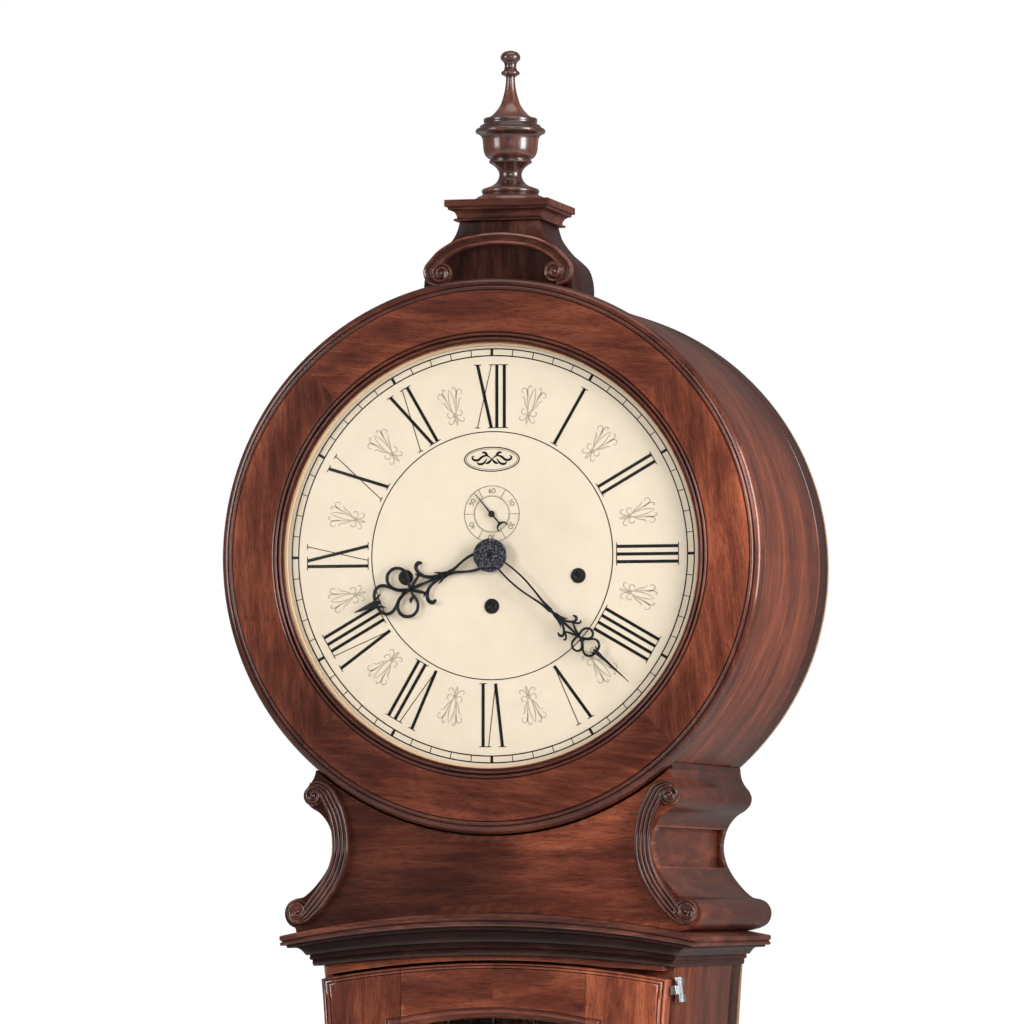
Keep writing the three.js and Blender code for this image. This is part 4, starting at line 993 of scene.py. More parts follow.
def drum_shading(point):
    """Painted light along the middle of the drum's side, with painted shade towards its front and back."""
    depth = place_of(point)[1]
    return max(0.7, 1.22 - ((depth - 110) / 130) ** 2 * 0.42)


def drum_grain(centre):
    """The drum's veneer runs round it, and its grain with it."""
    angle = math.atan2(centre.z - DIAL_Z, centre.x - DIAL_X)
    c, s = math.cos(angle), math.sin(angle)
    turn = Matrix(((-s, 0, c), (0, 1, 0), (c, 0, s)))
    return turn, Vector((DRUM_R * MM * angle, 0, 0)) - turn @ Vector((DIAL_X, 0, DIAL_Z))


def make_head():
    skin = [(184, 12.8), (184, 22), (219, 22)] + arc(219.4, 24.2, 2.4, -90, 0, 4)
    skin += [(221.6, 30), (221.6, 70), (221.55, 110), (221.5, 150), (221.5, 190), (221.45, 220), (221.4, 246)]
    skin += [(221.2, 247.4), (219.6, 248.2), (219.6, 249.4), (221.4, 250)] + arc(220.4, 252, 1.5, -60, 0, 3)
    skin += [(221.9, 256), (221.9, 280)] + arc(219.9, 281.7, 2, 0, 90, 4)
    inside = [(210, 283.7), (210, 30), (173, 30), (173, 12.8)]
    passage = box(-112, 112, 34, 300, -250, -150)
    piece("drum", Shells().turned(skin + inside, 0, 0, 176), CHERRY, "case", "head_drum", drum_grain,
          drum_tone, cutters=[passage], shading=drum_shading)
    cover = Shells().turned([(0.02, 284.3), (219.5, 284.3), (221.5, 285.3), (221.5, 288.6), (220.4, 289.8),
                             (0.02, 289.8)], 0, 0, 128)
    piece("rear_cover", cover, PLAIN_WOOD, "case", "head_back_cover")


def bell_tone(centre):
    """The sunk field under the arch is painted darker, a painted shade in the recess."""
    return 0.8 if 36 < place_of(centre)[1] < 37 else 1.0


def make_pedestal():
    flank = spline([(62.8, 200), (63, 214), (62.6, 226), (59.4, 237), (53.2, 244), (46.2, 250), (40.4, 257),
                    (36.4, 263), (34.2, 269), (33.0, 273.7)], 4)
    drum = Shells().turned([(0.01, 25), (222.5, 25), (222.5, 115), (0.01, 115)], 0, 0, 176)
    field = spline([(56, 206), (56.6, 222), (53, 233), (46, 241), (30, 249), (0, 252.5)], 5)
    recess = Shells().prism(mirrored(field), 30, 36.4)
    piece("pedestal_bell", Shells().prism(mirrored(flank), 35, 105), DARK_CHERRY, "case", "pedestal_body",
          "z", bell_tone, cutters=[drum, recess], bevel=0.7)

    # The cap: a flat fascia over a fillet, a cove and a last small step, mitred at the corners.
    profile = [(-10, 291), (-0.6, 291), (0, 290.5), (0, 285.6), (-0.5, 285.2), (-2.2, 285.2), (-2.4, 284.2)]
    profile += arc(-2.2, 276.6, 6.4, 92, 178, 7)
    profile += [(-8.8, 276.4), (-6.4, 275.6), (-6.4, 274.1), (-10, 274.1)]
    rows = []
    for out, z in profile:
        x, front, back = 43.5 + out, 24.4 - out, 119 + out
        rows.append([at(-x, front, z), at(x, front, z), at(x, back, z), at(-x, back, z)])
    piece("pedestal_cap", Shells().skin(rows, caps=True), DARK_CHERRY, "case", "pedestal_plate", "x", 2.5)

    moulding = Shells()
    climb = [(-48.6, 224.4), (-55.4, 226.6), (-57.4, 233.6), (-52.4, 240.6), (-44, 248.2), (-28, 255.6),
             (0, 259.0)]
    reeds = ((-1, 1.0), (-0.92, 0.1), (-0.66, 0.0), (-0.46, 0.14), (0.3, 0.16), (0.5, 0.06), (0.74, 0.0),
             (0.95, 0.16), (1, 1.0))
    carved_strip(moulding, spline(mirrored(climb), 7), 4.9, 27.6, 34.8, reeds)
    for side in (-1, 1):
        volute(moulding, side * 47.4, 231.2, 8.5, 27.6, 34.8, -side, 200)
    piece("pedestal_carving", moulding, DARK_CHERRY, "case", "pedestal_scroll", "x", 2.0, crease=50)


def finial_tone(centre):
    """The bowl is painted lighter, partly stain rubbed through and partly a painted highlight; its two rings
    and the knops keep more of the stain.
    """
    z = place_of(centre)[2]
    if 328 < z < 345:
        return 2.1
    return 1.3 if z < 328 or 361 < z < 395 else 0.8


def make_finial():
    foot = [(0.02, 291.3), (29.6, 291.3), (30, 292.2), (29.2, 294.6), (26.6, 296.6), (24.0, 297.6),
            (23.2, 298.4)]
    foot += arc(21.4, 301.2, 2.3, -60, 90, 5)
    foot += spline([(19.0, 304.4), (14.6, 306.2), (11.2, 309.2), (9.3, 313.6), (9.7, 317.6), (12.4, 321.4),
                    (15.8, 323.8)], 3)
    foot += [(16.4, 324.2), (17.1, 324.5)] + arc(16.5, 325.7, 1.1, -50, 80, 4)
    foot += [(16.6, 327.2), (16.9, 327.8)]
    bowl = [(17.9, 328.2), (19.9, 329.8), (21.5, 332.6), (22.3, 336.4), (22.6, 340.6), (22.9, 343.4)]
    rim = [(23.2, 344.8), (23.8, 346.2), (25.0, 347.5), (26.6, 348.5)] + arc(26.5, 350.7, 2.2, -50, 70, 6)
    rim += [(26.2, 353.3), (25.3, 353.7), (25.0, 354.8), (24.2, 355.6), (22.5, 356.0), (21.8, 356.8),
            (21.6, 357.6), (21.9, 358.4)]
    rim += arc(20.6, 359.9, 1.5, -20, 100, 4)
    spire = spline([(18.6, 361.4), (15.4, 363.6), (11.6, 367.4), (8.6, 371.8), (6.6, 377), (5.0, 383),
                    (4.0, 389), (3.7, 394.5)], 4)
    knops = [(3.9, 395.6), (4.9, 396.0)] + arc(5.9, 398.6, 1.75, -70, 80, 6)
    knops += spline([(5.6, 400.9), (4.9, 402.8), (4.8, 405.0), (5.4, 407.2)], 3)
    knops += [(6.0, 408.0), (7.1, 408.8), (8.0, 410.2), (8.15, 412.0), (7.4, 414.0), (5.6, 415.8),
              (3.0, 416.8), (0.02, 417)]
    section = foot + spline(bowl, 4) + rim + spire + knops
    piece("urn_finial", Shells().turned(section, 0, 0, 96, upright=True, depth=73.5), TURNED_CHERRY, "case",
          "finial", "z", finial_tone, crease=42)


# ------------------------------------------------------------------ neck and cornice

CROWN, CROWN_R = -288.5, 800
CORNICE_FOOT, CORNICE_FOOT_R = -322.3, 1225


def crown_line(x):
    return CROWN - x * x / (2 * CROWN_R)


def foot_line(x):
    return CORNICE_FOOT - x * x / (2 * CORNICE_FOOT_R)


NECK_SIDE = [
    (163, -301.2), (169, -298), (172.4, -292.4), (172.6, -285.8), (169.2, -280), (163.4, -277),
    (157.6, -275.8), (152.2, -271.8), (146.2, -265.6), (139.4, -256.6), (134.6, -247), (132.2, -236),
    (133.2, -225.6), (137, -215.6), (143.4, -207.8), (150.6, -203.2), (155.2, -198), (156.2, -192.4),
    (154.2, -187), (150.6, -182.4), (147.8, -177), (146.6, -170), (146.4, -163),
]
REEDS = [(-1.0, 1.0)]         # four round reeds side by side, the outer two a little fuller
for reed in range(4):
    swell = 0.36 if reed in (0, 3) else 0.34
    for a in (math.pi * k / 6 for k in range(7)):
        REEDS.append((-0.75 + 0.5 * reed - 0.25 * math.cos(a), 0.36 - swell * math.sin(a) ** 0.8))
REEDS.append((1.0, 1.0))


def neck_grain(centre):
    front = place_of(centre)[1] < 12
    return (GRAIN_TO_X["x"], Vector()) if front else (GRAIN_TO_X["y"], Vector((0.3, 0, 0)))


def neck_tone(centre):
    """The neck's front and the rolls on its sides are darker than its side panels."""
    _, depth, z = place_of(centre)
    if depth < 12:
        return 0.66
    return 1.0 if -252 < z < -219 else 0.4


def neck_shading(point):
    """The finish on the front is rubbed through in two soft patches, and the front is painted lighter towards
    the right, a painted light from that side.
    """
    x, depth, z = place_of(point)
    if depth > 12:
        return 1.0
    patches = sum(math.exp(-((x - middle) ** 2 + (z + 232) ** 2) / 800) for middle in (-82, 40))
    return 0.68 + 1.6 * smoothed((x + 10) / 110) + 0.4 * patches


def make_neck():
    side = spline(NECK_SIDE, 4)
    arch = across(crown_line, -163, 163, 40, 0.3)
    outline = arch[:-1] + mirrored(side + [(120, -150)])[:-1]
    ring = Shells().turned([(0.01, -5), (226.8, -5), (226.8, 21.7), (0.01, 21.7)], 0, 0, 176)
    drum = Shells().turned([(0.01, 20), (222.5, 20), (222.5, 300), (0.01, 300)], 0, 0, 176)
    passage = box(-112, 112, 26, 300, -330, -100)
    panels = [box(*sorted((129.2 * s, 150 * s)), 27, 270, -251, -219.4) for s in (-1, 1)]
    piece("neck", Shells().prism(outline, 10, 283.7), CHERRY, "case", "neck_body", neck_grain,
          neck_tone, cutters=[ring, drum, passage, *panels], bevel=0.6, shading=neck_shading, ruled=True)

    for name, s in (("left", -1), ("right", 1)):
        shells = Shells()
        path = spline([(150.2, -186.6), (144.6, -186.0), (138.8, -189.4), (134.4, -196.8), (129.4, -207.6),
                       (126.6, -219.4), (125.4, -231.6), (126.0, -243), (129.4, -254.6), (135.0, -265.6),
                       (142.6, -276.4), (150.6, -286.2), (157.0, -292.6), (163.6, -294.0)], 6)
        n = len(path) - 1
        half = [6.7 * min(1.0, 0.5 + 2.6 * min(i, n - i) / n) for i in range(n + 1)]
        carved_strip(shells, [(s * x, z) for x, z in path], half, 3.9, 9.7, REEDS)
        volute(shells, s * 147.6, -193.6, 8.4, 3.6, 9.7, -s, 90)
        volute(shells, s * 160.8, -287.2, 9.8, 3.6, 9.7, s, 270)
        piece(f"neck_carving_{name}", shells, DARK_CHERRY, "case", f"neck_scroll_{name}", "z", 1.45,
              crease=50)


def cornice_grain(centre):
    return GRAIN_TO_X["x" if place_of(centre)[1] < 13 else "y"], Vector()


def cornice_tone(centre):
    """The mouldings under the fascia carry painted shade from the overhang, and the sides are painted lighter
    than the front.
    """
    x, depth, z = place_of(centre)
    share = (z - foot_line(x)) / (crown_line(x) - foot_line(x))
    return (1.6 if depth > 13 else 1.0) * (0.45 if share < 0.66 else 1.6)


def make_cornice():
    # The moulding's lines: (half width at the sides, depth in front, share of the height from foot to crown).
    lines = [(171.5, -6.6, 1.0), (172.4, -7.6, 0.985), (172.5, -8, 0.93), (172.2, -7.7, 0.87),
             (171.0, -6.6, 0.835), (170.6, -6.4, 0.815), (172.0, -7.4, 0.79), (172.2, -7.6, 0.74),
             (171.4, -7.0, 0.70), (168.2, -4.4, 0.69), (167.6, -4.0, 0.675), (167.4, -3.8, 0.62),
             (166.2, -3.0, 0.60), (161.6, 0.8, 0.595), (160.2, 1.8, 0.57), (158.0, 3.6, 0.51),
             (156.0, 5.2, 0.43), (154.6, 6.4, 0.35), (153.8, 7.2, 0.325), (151.6, 9.0, 0.32),
             (151.4, 9.2, 0.30), (151.8, 9.0, 0.25), (151.4, 9.2, 0.185), (150.2, 10.2, 0.175),
             (149.6, 10.6, 0.165), (149.8, 10.4, 0.10), (149.4, 10.8, 0.03), (148.6, 11.4, 0.0)]
    steps, inner, back = 48, 140, CASE_BACK - 0.6

    def line(half, depth, share):
        def level(x):
            return foot_line(x) + (crown_line(x) - foot_line(x)) * share
        front = [at(x, depth, z) for x, z in across(level, -half, half, steps)]
        return [at(-half, back, level(half))] + front + [at(half, back, level(half))]

    rows = [line(inner, back, 1.0)] + [line(*each) for each in lines] + [line(inner, back, 0.0)]
    verts, faces = lattice(rows, wrap_rows=True, wrap_columns=False)
    width = len(rows[0])
    for column in (0, width - 1):
        faces.append(tuple(i * width + column for i in range(len(rows))))
    well = box(-112, 112, 44, 300, -360, -270)
    piece("cornice_moulding", Shells().add(verts, faces), DARK_CHERRY, "case", "cornice", cornice_grain,
          cornice_tone, cutters=[well], crease=30)


make_head()
make_pedestal()
make_finial()
make_neck()
make_cornice()

# ------------------------------------------------------------------ waist and its door

THROAT_HALF, THROAT, SWEEP_R, SWEEP_END = 141, -440, 1040, -740
WAIST_TOP, WAIST_FOOT = -331, 633 + FLOOR
DOOR_CREST, DOOR_FOOT = -328.7, 648 + FLOOR
LIGHT_CREST, LIGHT_FOOT, LIGHT_R = -373, 720 + FLOOR, 330


def waist_half(z):
    """Half width of the waist: a hollow sweep round the throat, then a round one that ends upright."""
    if z >= SWEEP_END:
        return THROAT_HALF + SWEEP_R - math.sqrt(SWEEP_R ** 2 - (THROAT - z) ** 2)
    slope = math.asin((THROAT - SWEEP_END) / SWEEP_R)
    foot_r = (SWEEP_END - WAIST_FOOT) / math.sin(slope)
    foot_half = waist_half(SWEEP_END) + foot_r * (1 - math.cos(slope))
    return foot_half - foot_r + math.sqrt(foot_r ** 2 - (z - WAIST_FOOT) ** 2)


def door_line(x):
    return DOOR_CREST - x * x / (2 * CROWN_R)


def light_line(x):
    return LIGHT_CREST - x * x / (2 * LIGHT_R)


def waist_outline(inset, foot, top, steps=56):
    """The waist in elevation, drawn in from its sides, between a level foot and an arched or level top."""
    side_top = top(waist_half(WAIST_TOP) - inset)
    side = [foot + (side_top - foot) * i / steps for i in range(steps + 1)]
    side = [(waist_half(z) - inset, z) for z in side]
    corner = side[-1][0]
    arch = across(top, corner, -corner, 32)[1:-1]
    return side + arch + [(-x, z) for x, z in reversed(side)]


def case_grain(centre):
    """Upright grain all round the waist."""
    x, depth, _ = place_of(centre)
    return GRAIN_TO_X["z"], Vector((0, 0.4 * (x > 0), 0.2 * (depth > 250)))


def edge_tone(centre):
    """The strip along the back edge of each side is darker."""
    return 0.3 if place_of(centre)[1] > 249 else 1.0


def make_waist():
    foot = WAIST_FOOT + 0.3
    body = Shells().prism(waist_outline(0.1, foot, lambda x: foot_line(x) - 0.4), 34, 283.8)
    inside = Shells().prism(waist_outline(14, foot - 5, lambda x: foot_line(x) + 5), 52, 300)
    doorway = Shells().prism(waist_outline(24, foot + 25, lambda x: -366), 10, 60)
    grooves = []
    for side in (-1, 1):
        run = [foot - 5 + (foot_line(141) + 10 - foot) * i / 60 for i in range(61)]
        strip = [(side * (waist_half(z) - 0.9), z) for z in run]
        strip += [(side * (waist_half(z) + 3), z) for z in reversed(run)]
        grooves.append(Shells().prism(strip, 248.4, 249.8))
    piece("waist_body", body, CHERRY, "case", "waist_case", case_grain, edge_tone,
          cutters=[inside, doorway, *grooves], bevel=0.7)

    def header_foot(x):
        return door_line(x) + 2.2 + 0.085 * max(0, x - 95)

    header = across(foot_line, -140.6, 140.6, 40, -0.4) + across(header_foot, 140.6, -140.6, 40)
    piece("waist_header", Shells().prism(header, 16, 33.9), CHERRY, grain="x", tone=1.3, bevel=0.5)
    low, top = waist_half(foot), DOOR_FOOT - 2
    sill = Shells().prism([(-low, foot), (low, foot), (low - 0.2, top), (0.2 - low, top)], 16, 33.9)
    piece("waist_sill", sill, CHERRY, grain="x", bevel=1.0)


STILE = 66                    # how far the edge of the glass lies inside the waist's side
STILE_STEPS, CORNER_STEPS = 56, 8


def door_rows():
    """Points round the door's edge, each paired with its point on the edge of the glass."""
    top_out = waist_half(WAIST_TOP) - 2
    top_in = waist_half(LIGHT_CREST) - STILE
    side = []
    for t in (i / STILE_STEPS for i in range(STILE_STEPS + 1)):
        z_out = DOOR_FOOT + (door_line(top_out) - DOOR_FOOT) * t
        z_in = LIGHT_FOOT + (light_line(top_in) - LIGHT_FOOT) * t
        side.append(((waist_half(z_out) - 2, z_out), (waist_half(z_in) - STILE, z_in)))
    (foot_out, _), foot_in = side[0]
    corner_in = side[-1][1]
    top_edge = across(door_line, top_out, corner_in[0], CORNER_STEPS)[1:]
    foot_edge = across(lambda x: DOOR_FOOT, foot_in[0], foot_out, CORNER_STEPS)[:-1]
    half = [(edge, foot_in) for edge in foot_edge] + side + [(edge, corner_in) for edge in top_edge]
    left = [((-a[0], a[1]), (-b[0], b[1])) for a, b in reversed(half)]
    crown = [((x, door_line(x)), (x, z)) for x, z in across(light_line, corner_in[0], -corner_in[0], 40)]
    floor = [((x, DOOR_FOOT), (x, z)) for x, z in across(lambda x: LIGHT_FOOT, -foot_in[0], foot_in[0], 20)]
    return half + crown[1:-1] + left + floor[1:-1]


def in_rail(centre):
    """Whether a point of the door's frame is in its top or bottom rail."""
    x, _, z = place_of(centre)
    return (abs(x) < 76 and z > -400) or (z < LIGHT_FOOT and abs(x) < waist_half(LIGHT_FOOT) - STILE)


def door_grain(centre):
    rail = in_rail(centre)
    return GRAIN_TO_X["x" if rail else "z"], Vector((0.31 * (centre.x > DIAL_X), 0, 0.2 * rail))


def door_tone(centre):
    """The right stile is painted lightest, a painted light from that side, and the left one the darkest."""
    if in_rail(centre):
        return 1.25
    return 1.85 if centre.x > DIAL_X else 1.08


def make_waist_door():
    # Across the frame from its outer edge: (share of the way to the glass, depth).
    section = [
        (0.0, 33.6), (0.0, 16.0), (0.006, 14.7), (0.018, 14.1), (0.032, 14.5), (0.042, 15.3), (0.047, 15.3),
        (0.055, 14.4), (0.07, 14.05), (0.085, 14.4), (0.094, 15.2), (0.1, 15.2), (0.108, 14.5), (0.12, 14.2),
        (0.13, 14.1), (0.62, 14.1), (0.80, 14.15), (0.81, 15.2), (0.83, 15.6), (0.85, 15.2), (0.875, 15.0),
        (0.90, 15.6), (0.92, 17.0), (0.925, 18.2), (0.95, 19.0), (0.975, 20.6), (0.995, 22.4), (1.0, 23.4),
        (1.0, 25.0), (0.88, 25.0), (0.88, 33.6),
    ]
    pairs = door_rows()
    rows = [[at(a[0] + (b[0] - a[0]) * s, d, a[1] + (b[1] - a[1]) * s) for a, b in pairs] for s, d in section]
    foot_x, head_x = pairs[0][1][0], pairs[CORNER_STEPS + STILE_STEPS][1][0]
    seams = [box(x - 0.25, x + 0.25, 12, 14.5, -376, -332) for x in (-head_x, head_x)]
    seams += [box(x - 0.25, x + 0.25, 12, 14.5, DOOR_FOOT + 5, LIGHT_FOOT - 6) for x in (-foot_x, foot_x)]
    knob_z = -700
    knob_x = 33 - waist_half(knob_z)
    shank = Shells().prism(arc(knob_x, knob_z, 3.4, 0, 345, 23), 0, 50)
    piece("door_frame", Shells().skin(rows, wrap_rows=True), CHERRY, "waist_door", "waist_door_frame",
          door_grain, door_tone, crease=32, cutters=[shank, *seams])
    pane = waist_outline(58.6, LIGHT_FOOT - 7.4, lambda x: light_line(x) + 4.6)
    piece("door_pane", Shells().prism(pane, 25.3, 28.2), GLASS, "waist_door", "waist_door_glass",
          bevel=0.3)

    knob = [(0.02, -11.9), (3.2, -11.7), (6.4, -11), (8.8, -9.6), (9.8, -7.4), (9.7, -5), (8.6, -2.6),
            (6.6, -0.6), (5.1, 1.4), (4.4, 3.4), (4.3, 5.4), (4.8, 7.6), (6.2, 9.2), (7.6, 9.9), (8.2, 10.8),
            (8.9, 11.3), (9.0, 12.6), (8.6, 13.7), (3, 13.7), (3, 52.4), (0.02, 52.4)]
    piece("knob_turned", Shells().turned(knob, knob_x, knob_z, 48), POLISHED_BRASS, "door_knob",
          "waist_door_knob")
    cam = [(knob_x + x, knob_z + z, r) for x, z, r in ((-5, -16, 4), (5, -16, 4), (5, 5, 2), (-5, 5, 2))]
    piece("knob_cam", Shells().prism(eased(cam, 3), 52.4, 54.2), BRASS, "door_knob", bevel=0.3)


# ------------------------------------------------------------------ base

def stack(lines, back):
    """A case moulding, square at the back: (half width, depth of the front, height over the floor) upward."""
    rows = []
    for half, front, z in lines:
        corners = ((-half, front), (half, front), (half, back), (-half, back))
        rows.append([at(x, depth, z + FLOOR) for x, depth in corners])
    return Shells().skin(rows, caps=True)


def along_face(centre):
    """Grain that runs level along the front and the sides."""
    x, depth, _ = place_of(centre)
    side = abs(x) > 236 and depth > -17
    return GRAIN_TO_X["y" if side else "x"], Vector((0, 0, 0.15 * side))


def up_face(centre):
    return GRAIN_TO_X["z"], Vector((0, 0.5 * (abs(place_of(centre)[0]) > 240), 0))


def around_panel(centre):
    return GRAIN_TO_X["z" if abs(place_of(centre)[0]) > 165 else "x"], Vector()


def make_plinth():
    lines = [(267, -40, 0), (267, -40, 78), (266.4, -39.4, 81), (264.4, -37.4, 82.4), (263.8, -36.8, 83.6)]
    for a in (math.pi * k / 14 for k in range(1, 8)):
        in_by = 9.4 * (1 - math.cos(a))
        lines.append((263.8 - in_by, in_by - 36.8, 83.6 + 10.6 * math.sin(a)))
    lines += [(253.4, -26.4, 95), (253.2, -26.2, 96.6), (252.2, -25.2, 98.2), (250.6, -23.6, 99.9)]
    foot = spline([(176, -6), (174, 2), (168, 11), (158, 17), (148, 19.6), (140, 25), (132, 34), (120, 39.4),
                   (104, 41.6), (90, 42)], 5)
    arch = mirrored([(x, z + FLOOR) for x, z in foot])
    hollow = box(-245, 245, -18, 268, FLOOR - 1, FLOOR + 101)
    rows = [[at(x, 125 + u * 0.55, z) for u, z in arch] for x in (-300, 300)]
    side_arch = Shells().skin(rows, caps=True)
    piece("plinth", stack(lines, 290), DARK_CHERRY, "case", "base_plinth", along_face, 1.35,
          cutters=[hollow, Shells().prism(arch, -60, 120), side_arch], bevel=0.8)


def make_base_case():
    low, high, back = 100.4, 589.8, 283.9
    inside = box(-231, 231, -4, 290, low + FLOOR + 12, high + FLOOR + 2)
    bed = box(-180, 180, -30, -12.2, 160 + FLOOR, 535 + FLOOR)
    piece("base_case", stack([(246.8, -19.8, low), (246.8, -19.8, high)], back), CHERRY, "case", "base_box",
          up_face, cutters=[inside, bed], bevel=0.9)


def panel_rows(section):
    """Mitred rows round the recess in the base's front, from (distance in from its edge, depth)."""
    half, low, high = 180, 160 + FLOOR, 535 + FLOOR
    rows = []
    for inset, depth in section:
        x, z0, z1 = half - inset, low + inset, high - inset
        rows.append([at(-x, depth, z0), at(x, depth, z0), at(x, depth, z1), at(-x, depth, z1)])
    return rows


def make_base_panel():
    """Sticking round the recess, and the raised, fielded panel in it."""
    beads = [(0.3, -12.4), (0.3, -19.0), (1.6, -19.7), (3.4, -19.4), (4.6, -18.2), (5.0, -17.2), (6.4, -16.8),
             (8.6, -15.2), (10.2, -13.2), (10.4, -12.4)]
    piece("panel_moulding", Shells().skin(panel_rows(beads), wrap_rows=True), DARK_CHERRY,
          grain=around_panel, tone=1.4)
    rise = [(0.3, -12.0), (0.3, -12.7), (10.6, -12.5), (12.0, -13.0), (30, -16.4), (36.0, -17.6),
            (36.8, -17.7), (37.0, -19.2), (38.4, -19.7)]
    piece("fielded_panel", Shells().skin(panel_rows(rise), caps=True), CHERRY, "case", "base_front_panel",
          "z", 1.1, crease=20)


def make_base_top():
    lines = [(247, -20, 590.4), (248, -21, 592), (252.4, -24.4, 594.2), (254.6, -26.4, 597),
             (254.9, -26.9, 600.6), (254.4, -26.4, 603.8), (252.6, -24.6, 605.6), (250.8, -22.8, 606.2),
             (250.6, -22.6, 607.8), (250.0, -22.0, 608.6), (246.8, -16.6, 609.4), (243.9, 1.2, 611.2),
             (243.9, 1.2, 614), (243.4, 1.8, 615.4), (242.4, 3.2, 616.2), (240.8, 5.8, 618.6),
             (238.6, 9.4, 623), (236.6, 12.2, 628), (236.0, 13.2, 630), (236.8, 12.6, 631.2),
             (236.6, 12.8, 632.6), (236.0, 13.4, 632.9)]
    well = box(-215, 215, 25, 300, 580 + FLOOR, 640 + FLOOR)
    piece("base_top_moulding", stack(lines, 283.9), DARK_CHERRY, "case", "base_moulding", along_face, 1.4,
          cutters=[well], crease=28)


make_waist()
make_waist_door()
make_plinth()
make_base_case()
make_base_panel()
make_base_top()

# ------------------------------------------------------------------ weights, pulleys and cables

CABLE_PLANE, CABLE_REACH, PULLEY_LEVEL = 84, 17, -400
# The bead round each end of a weight: (radius, distance from the end).
END_CAP = [(22.5, 0.8), (24.6, 1.4), (26.3, 2.8), (27, 4.8), (27, 12.6), (26.5, 13), (26.5, 13.8), (27, 14.2)]


def make_weights():
    top = PULLEY_LEVEL - 40
    for name, x, z in WINDINGS:
        low = top - 250
        tube = [(0.02, low), (9, low), (10, low + 0.8)]
        tube += [(r, low + rise) for r, rise in END_CAP] + [(r, top - drop) for r, drop in reversed(END_CAP)]
        tube += [(8.4, top - 0.4), (6.4, top), (4, top + 0.6), (4, top + 7.6), (3.4, top + 8)]
        tube.append((0.02, top + 8))
        shell = Shells().turned(tube, x, 0, 72, upright=True, depth=CABLE_PLANE)
        piece(f"{name}_weight_shell", shell, POLISHED_BRASS, f"{name}_weight", f"{name}_weight")

        stirrup = Shells()
        cheek = eased([(x - 5, top + 10.4, 1), (x + 5, top + 10.4, 1), (x + 5, PULLEY_LEVEL + 7, 4.4),
                       (x - 5, PULLEY_LEVEL + 7, 4.4)], 2, steps=5)
        for depth in (CABLE_PLANE - 5.5, CABLE_PLANE + 5.5):
            stirrup.prism(cheek, depth - 1, depth + 1)
        yoke = [(x - 5, top + 7), (x + 5, top + 7), (x + 5, top + 10.4), (x - 5, top + 10.4)]
        stirrup.prism(yoke, CABLE_PLANE - 6.5, CABLE_PLANE + 6.5)
        pin = [(r, CABLE_PLANE + d) for r, d in ((0.02, -6), (2, -6), (2, 6), (0.02, 6))]
        stirrup.turned(pin, x, PULLEY_LEVEL, 20)
        piece(f"{name}_stirrup", stirrup, BRASS, f"{name}_weight")

        flank = [(4.6, 3.1), (5.4, 3.6), (8, 3.6), (8.6, 2.7), (14.6, 2.7), (15.2, 3.4), (18.1, 3.5),
                 (18.5, 3.1), (18.5, 2.7)]
        groove = [(max(15.7, r), d) for r, d in arc(18.4, 0, 2.7, 262, 98, 10)]
        section = [(r, -d) for r, d in flank] + groove + flank[::-1] + [(2.3, 3.1), (2.3, -3.1)]
        section = [(r, d + CABLE_PLANE) for r, d in section]
        sheave = Shells().turned(section, x, PULLEY_LEVEL, 72)
        piece(f"{name}_sheave", sheave, STEEL, f"{name}_pulley", f"{name}_pulley")


def make_cables():
    """A round cord down from each drum, under its pulley and up to the seat board."""
    radius, sides = 0.98, 10
    spokes = [2 * math.pi * k / sides for k in range(sides)]
    for name, x, z in WINDINGS:
        fall = [(x - CABLE_REACH, z + (PULLEY_LEVEL - z) * i / 70) for i in range(71)]
        turn = arc(x, PULLEY_LEVEL, CABLE_REACH, 180, 360, 28)[1:-1]
        rise = [(x + CABLE_REACH, PULLEY_LEVEL + (-110.3 - PULLEY_LEVEL) * i / 54) for i in range(55)]
        rows = []
        for (u, v), side in sides_along(fall + turn + rise, radius):
            ring = ((math.cos(a), radius * math.sin(a)) for a in spokes)
            rows.append([at(u + side.x * c, CABLE_PLANE + d, v + side.y * c) for c, d in ring])
        obj = new_object(f"{name}_cord", Shells().skin(rows, caps=True))
        soften(obj.data, 50)
        obj.data.materials.append(CABLE)
        at(x, CABLE_PLANE, -112)
        at(x, CABLE_PLANE, -378)
        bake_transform(obj)
        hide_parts(f"{name}_cable")


# ------------------------------------------------------------------ pendulum

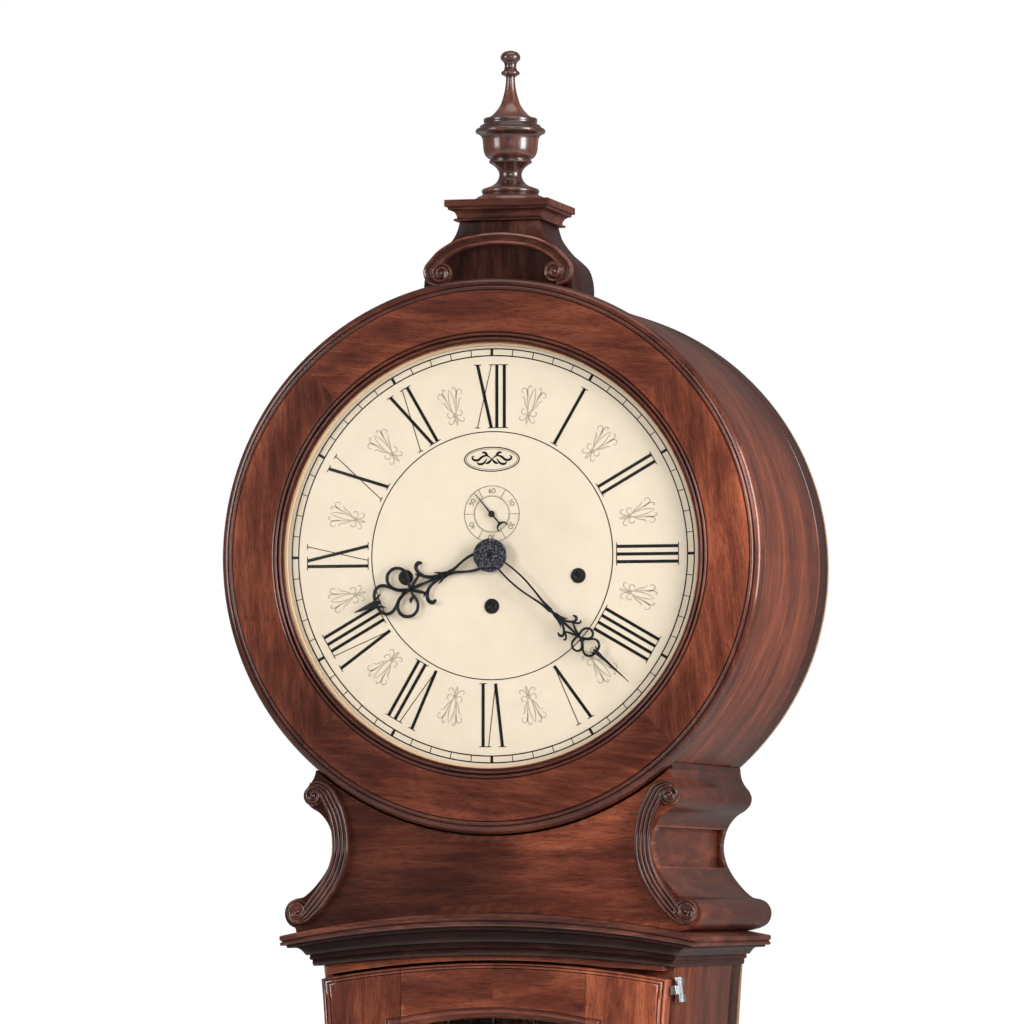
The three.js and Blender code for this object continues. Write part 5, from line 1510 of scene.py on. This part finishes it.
def make_pendulum():
    hang, depth = 60, 130
    bob_z = hang - 994
    strip = box(-8, 8, depth - 1.5, depth + 1.5, bob_z - 62, -59)
    spring = box(-5, 5, depth - 0.6, depth + 0.6, hang - 20, hang + 8)
    fork = box(-6, 6, depth - 2, depth + 2, -60, hang - 19)
    slot = box(-2.4, 2.4, depth - 5, depth + 5, 0, 8)
    piece("pendulum_strip", strip, POLISHED_BRASS, "pendulum", "pendulum_rod", bevel=0.35)
    piece("pendulum_spring", spring, STEEL, "pendulum", bevel=0.15)
    piece("pendulum_fork", fork, BRASS, "pendulum", cutters=[slot], bevel=0.4)
    thread = [(0.02, bob_z - 92)]
    for i in range(39):
        z = bob_z - 91.6 + i * 0.8
        thread += [(1.18, z), (1.48, z + 0.4)]
    thread += [(1.2, bob_z - 60.6), (0.02, bob_z - 60.6)]
    piece("pendulum_thread", Shells().turned(thread, 0, 0, 24, upright=True, depth=depth), BRASS, "pendulum",
          crease=20)

    lens = spline([(0.02, 118.5), (18, 118.9), (32, 120.2), (44, 122.4), (53, 125.2)], 8)
    lens += [(53.4, 125.2), (54.0, 126.2), (55.0, 126.5)] + arc(57.4, 128.2, 2.5, -120, 0, 6)
    back = spline([(0.02, 118.5), (24, 119.5), (44, 122.6), (57.8, 128.2)], 6)
    lens += [(60, 129.5), (60, 130.6)] + [(r, 2 * depth - d) for r, d in reversed(back)]
    channel = box(-8.3, 8.3, depth - 1.8, depth + 1.8, bob_z - 80, bob_z + 80)
    piece("bob_lens", Shells().turned(lens, 0, bob_z, 128), POLISHED_BRASS, "pendulum", "pendulum_bob",
          cutters=[channel])

    knurls = 40
    rows = []
    for z, shrink in ((-73, 0.8), (-72.4, 0.2), (-66, 0.0), (-64.6, 0.2), (-64, 0.8)):
        radii = [9 - shrink - 0.5 * (k % 2) for k in range(knurls * 2)]
        turns = [math.pi * k / knurls for k in range(knurls * 2)]
        rows.append([at(r * math.cos(a), depth + r * math.sin(a), bob_z + z) for r, a in zip(radii, turns)])
    bore = [(r, bob_z + z) for r, z in ((0.01, -80), (1.8, -80), (1.8, -60), (0.01, -60))]
    piece("nut_knurled", Shells().skin(rows, caps=True), BRASS, "rating_nut", "rating_nut", crease=20,
          cutters=[Shells().turned(bore, 0, 0, 20, upright=True, depth=depth)])


# ------------------------------------------------------------------ pieces that keep the CAD's shape

def finish_node(name, material, bevel=None, grain=None):
    """Gives a piece of the frame its material and eased edges."""
    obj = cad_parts[name]
    if grain:
        dress(obj.data, grain)
    obj.data.materials.clear()
    obj.data.materials.append(material)
    if bevel:
        add_bevel(obj, bevel, 40, "MITER_SHARP")


def finish_the_rest():
    for name in ("front_plate", "back_plate"):
        finish_node(name, BRUSHED_BRASS, 0.35)
    for name in ("centre_wheel", "third_wheel", "escape_wheel", "minute_wheel", "hour_wheel",
                 "time_great_wheel", "time_drum", "strike_drum", "chime_drum", "suspension_post",
                 "strike_hammer"):
        finish_node(name, BRASS, 0.12)
    for name in ("dial_hinge", "dial_door_leaf"):
        finish_node(name, BRASS, 0.25)
    for name in ("waist_hinge_upper", "waist_hinge_lower", "waist_door_leaf_upper", "waist_door_leaf_lower"):
        finish_node(name, CHROME, 0.25)
    finish_node("anchor", STEEL, 0.15)
    finish_node("chime_block", IRON, 0.5)
    finish_node("seat_board", PLAIN_WOOD, 0.6, "x")
    finish_node("back_panel", PLAIN_WOOD, 0.5, "z")


make_weights()
make_cables()
make_pendulum()
finish_the_rest()
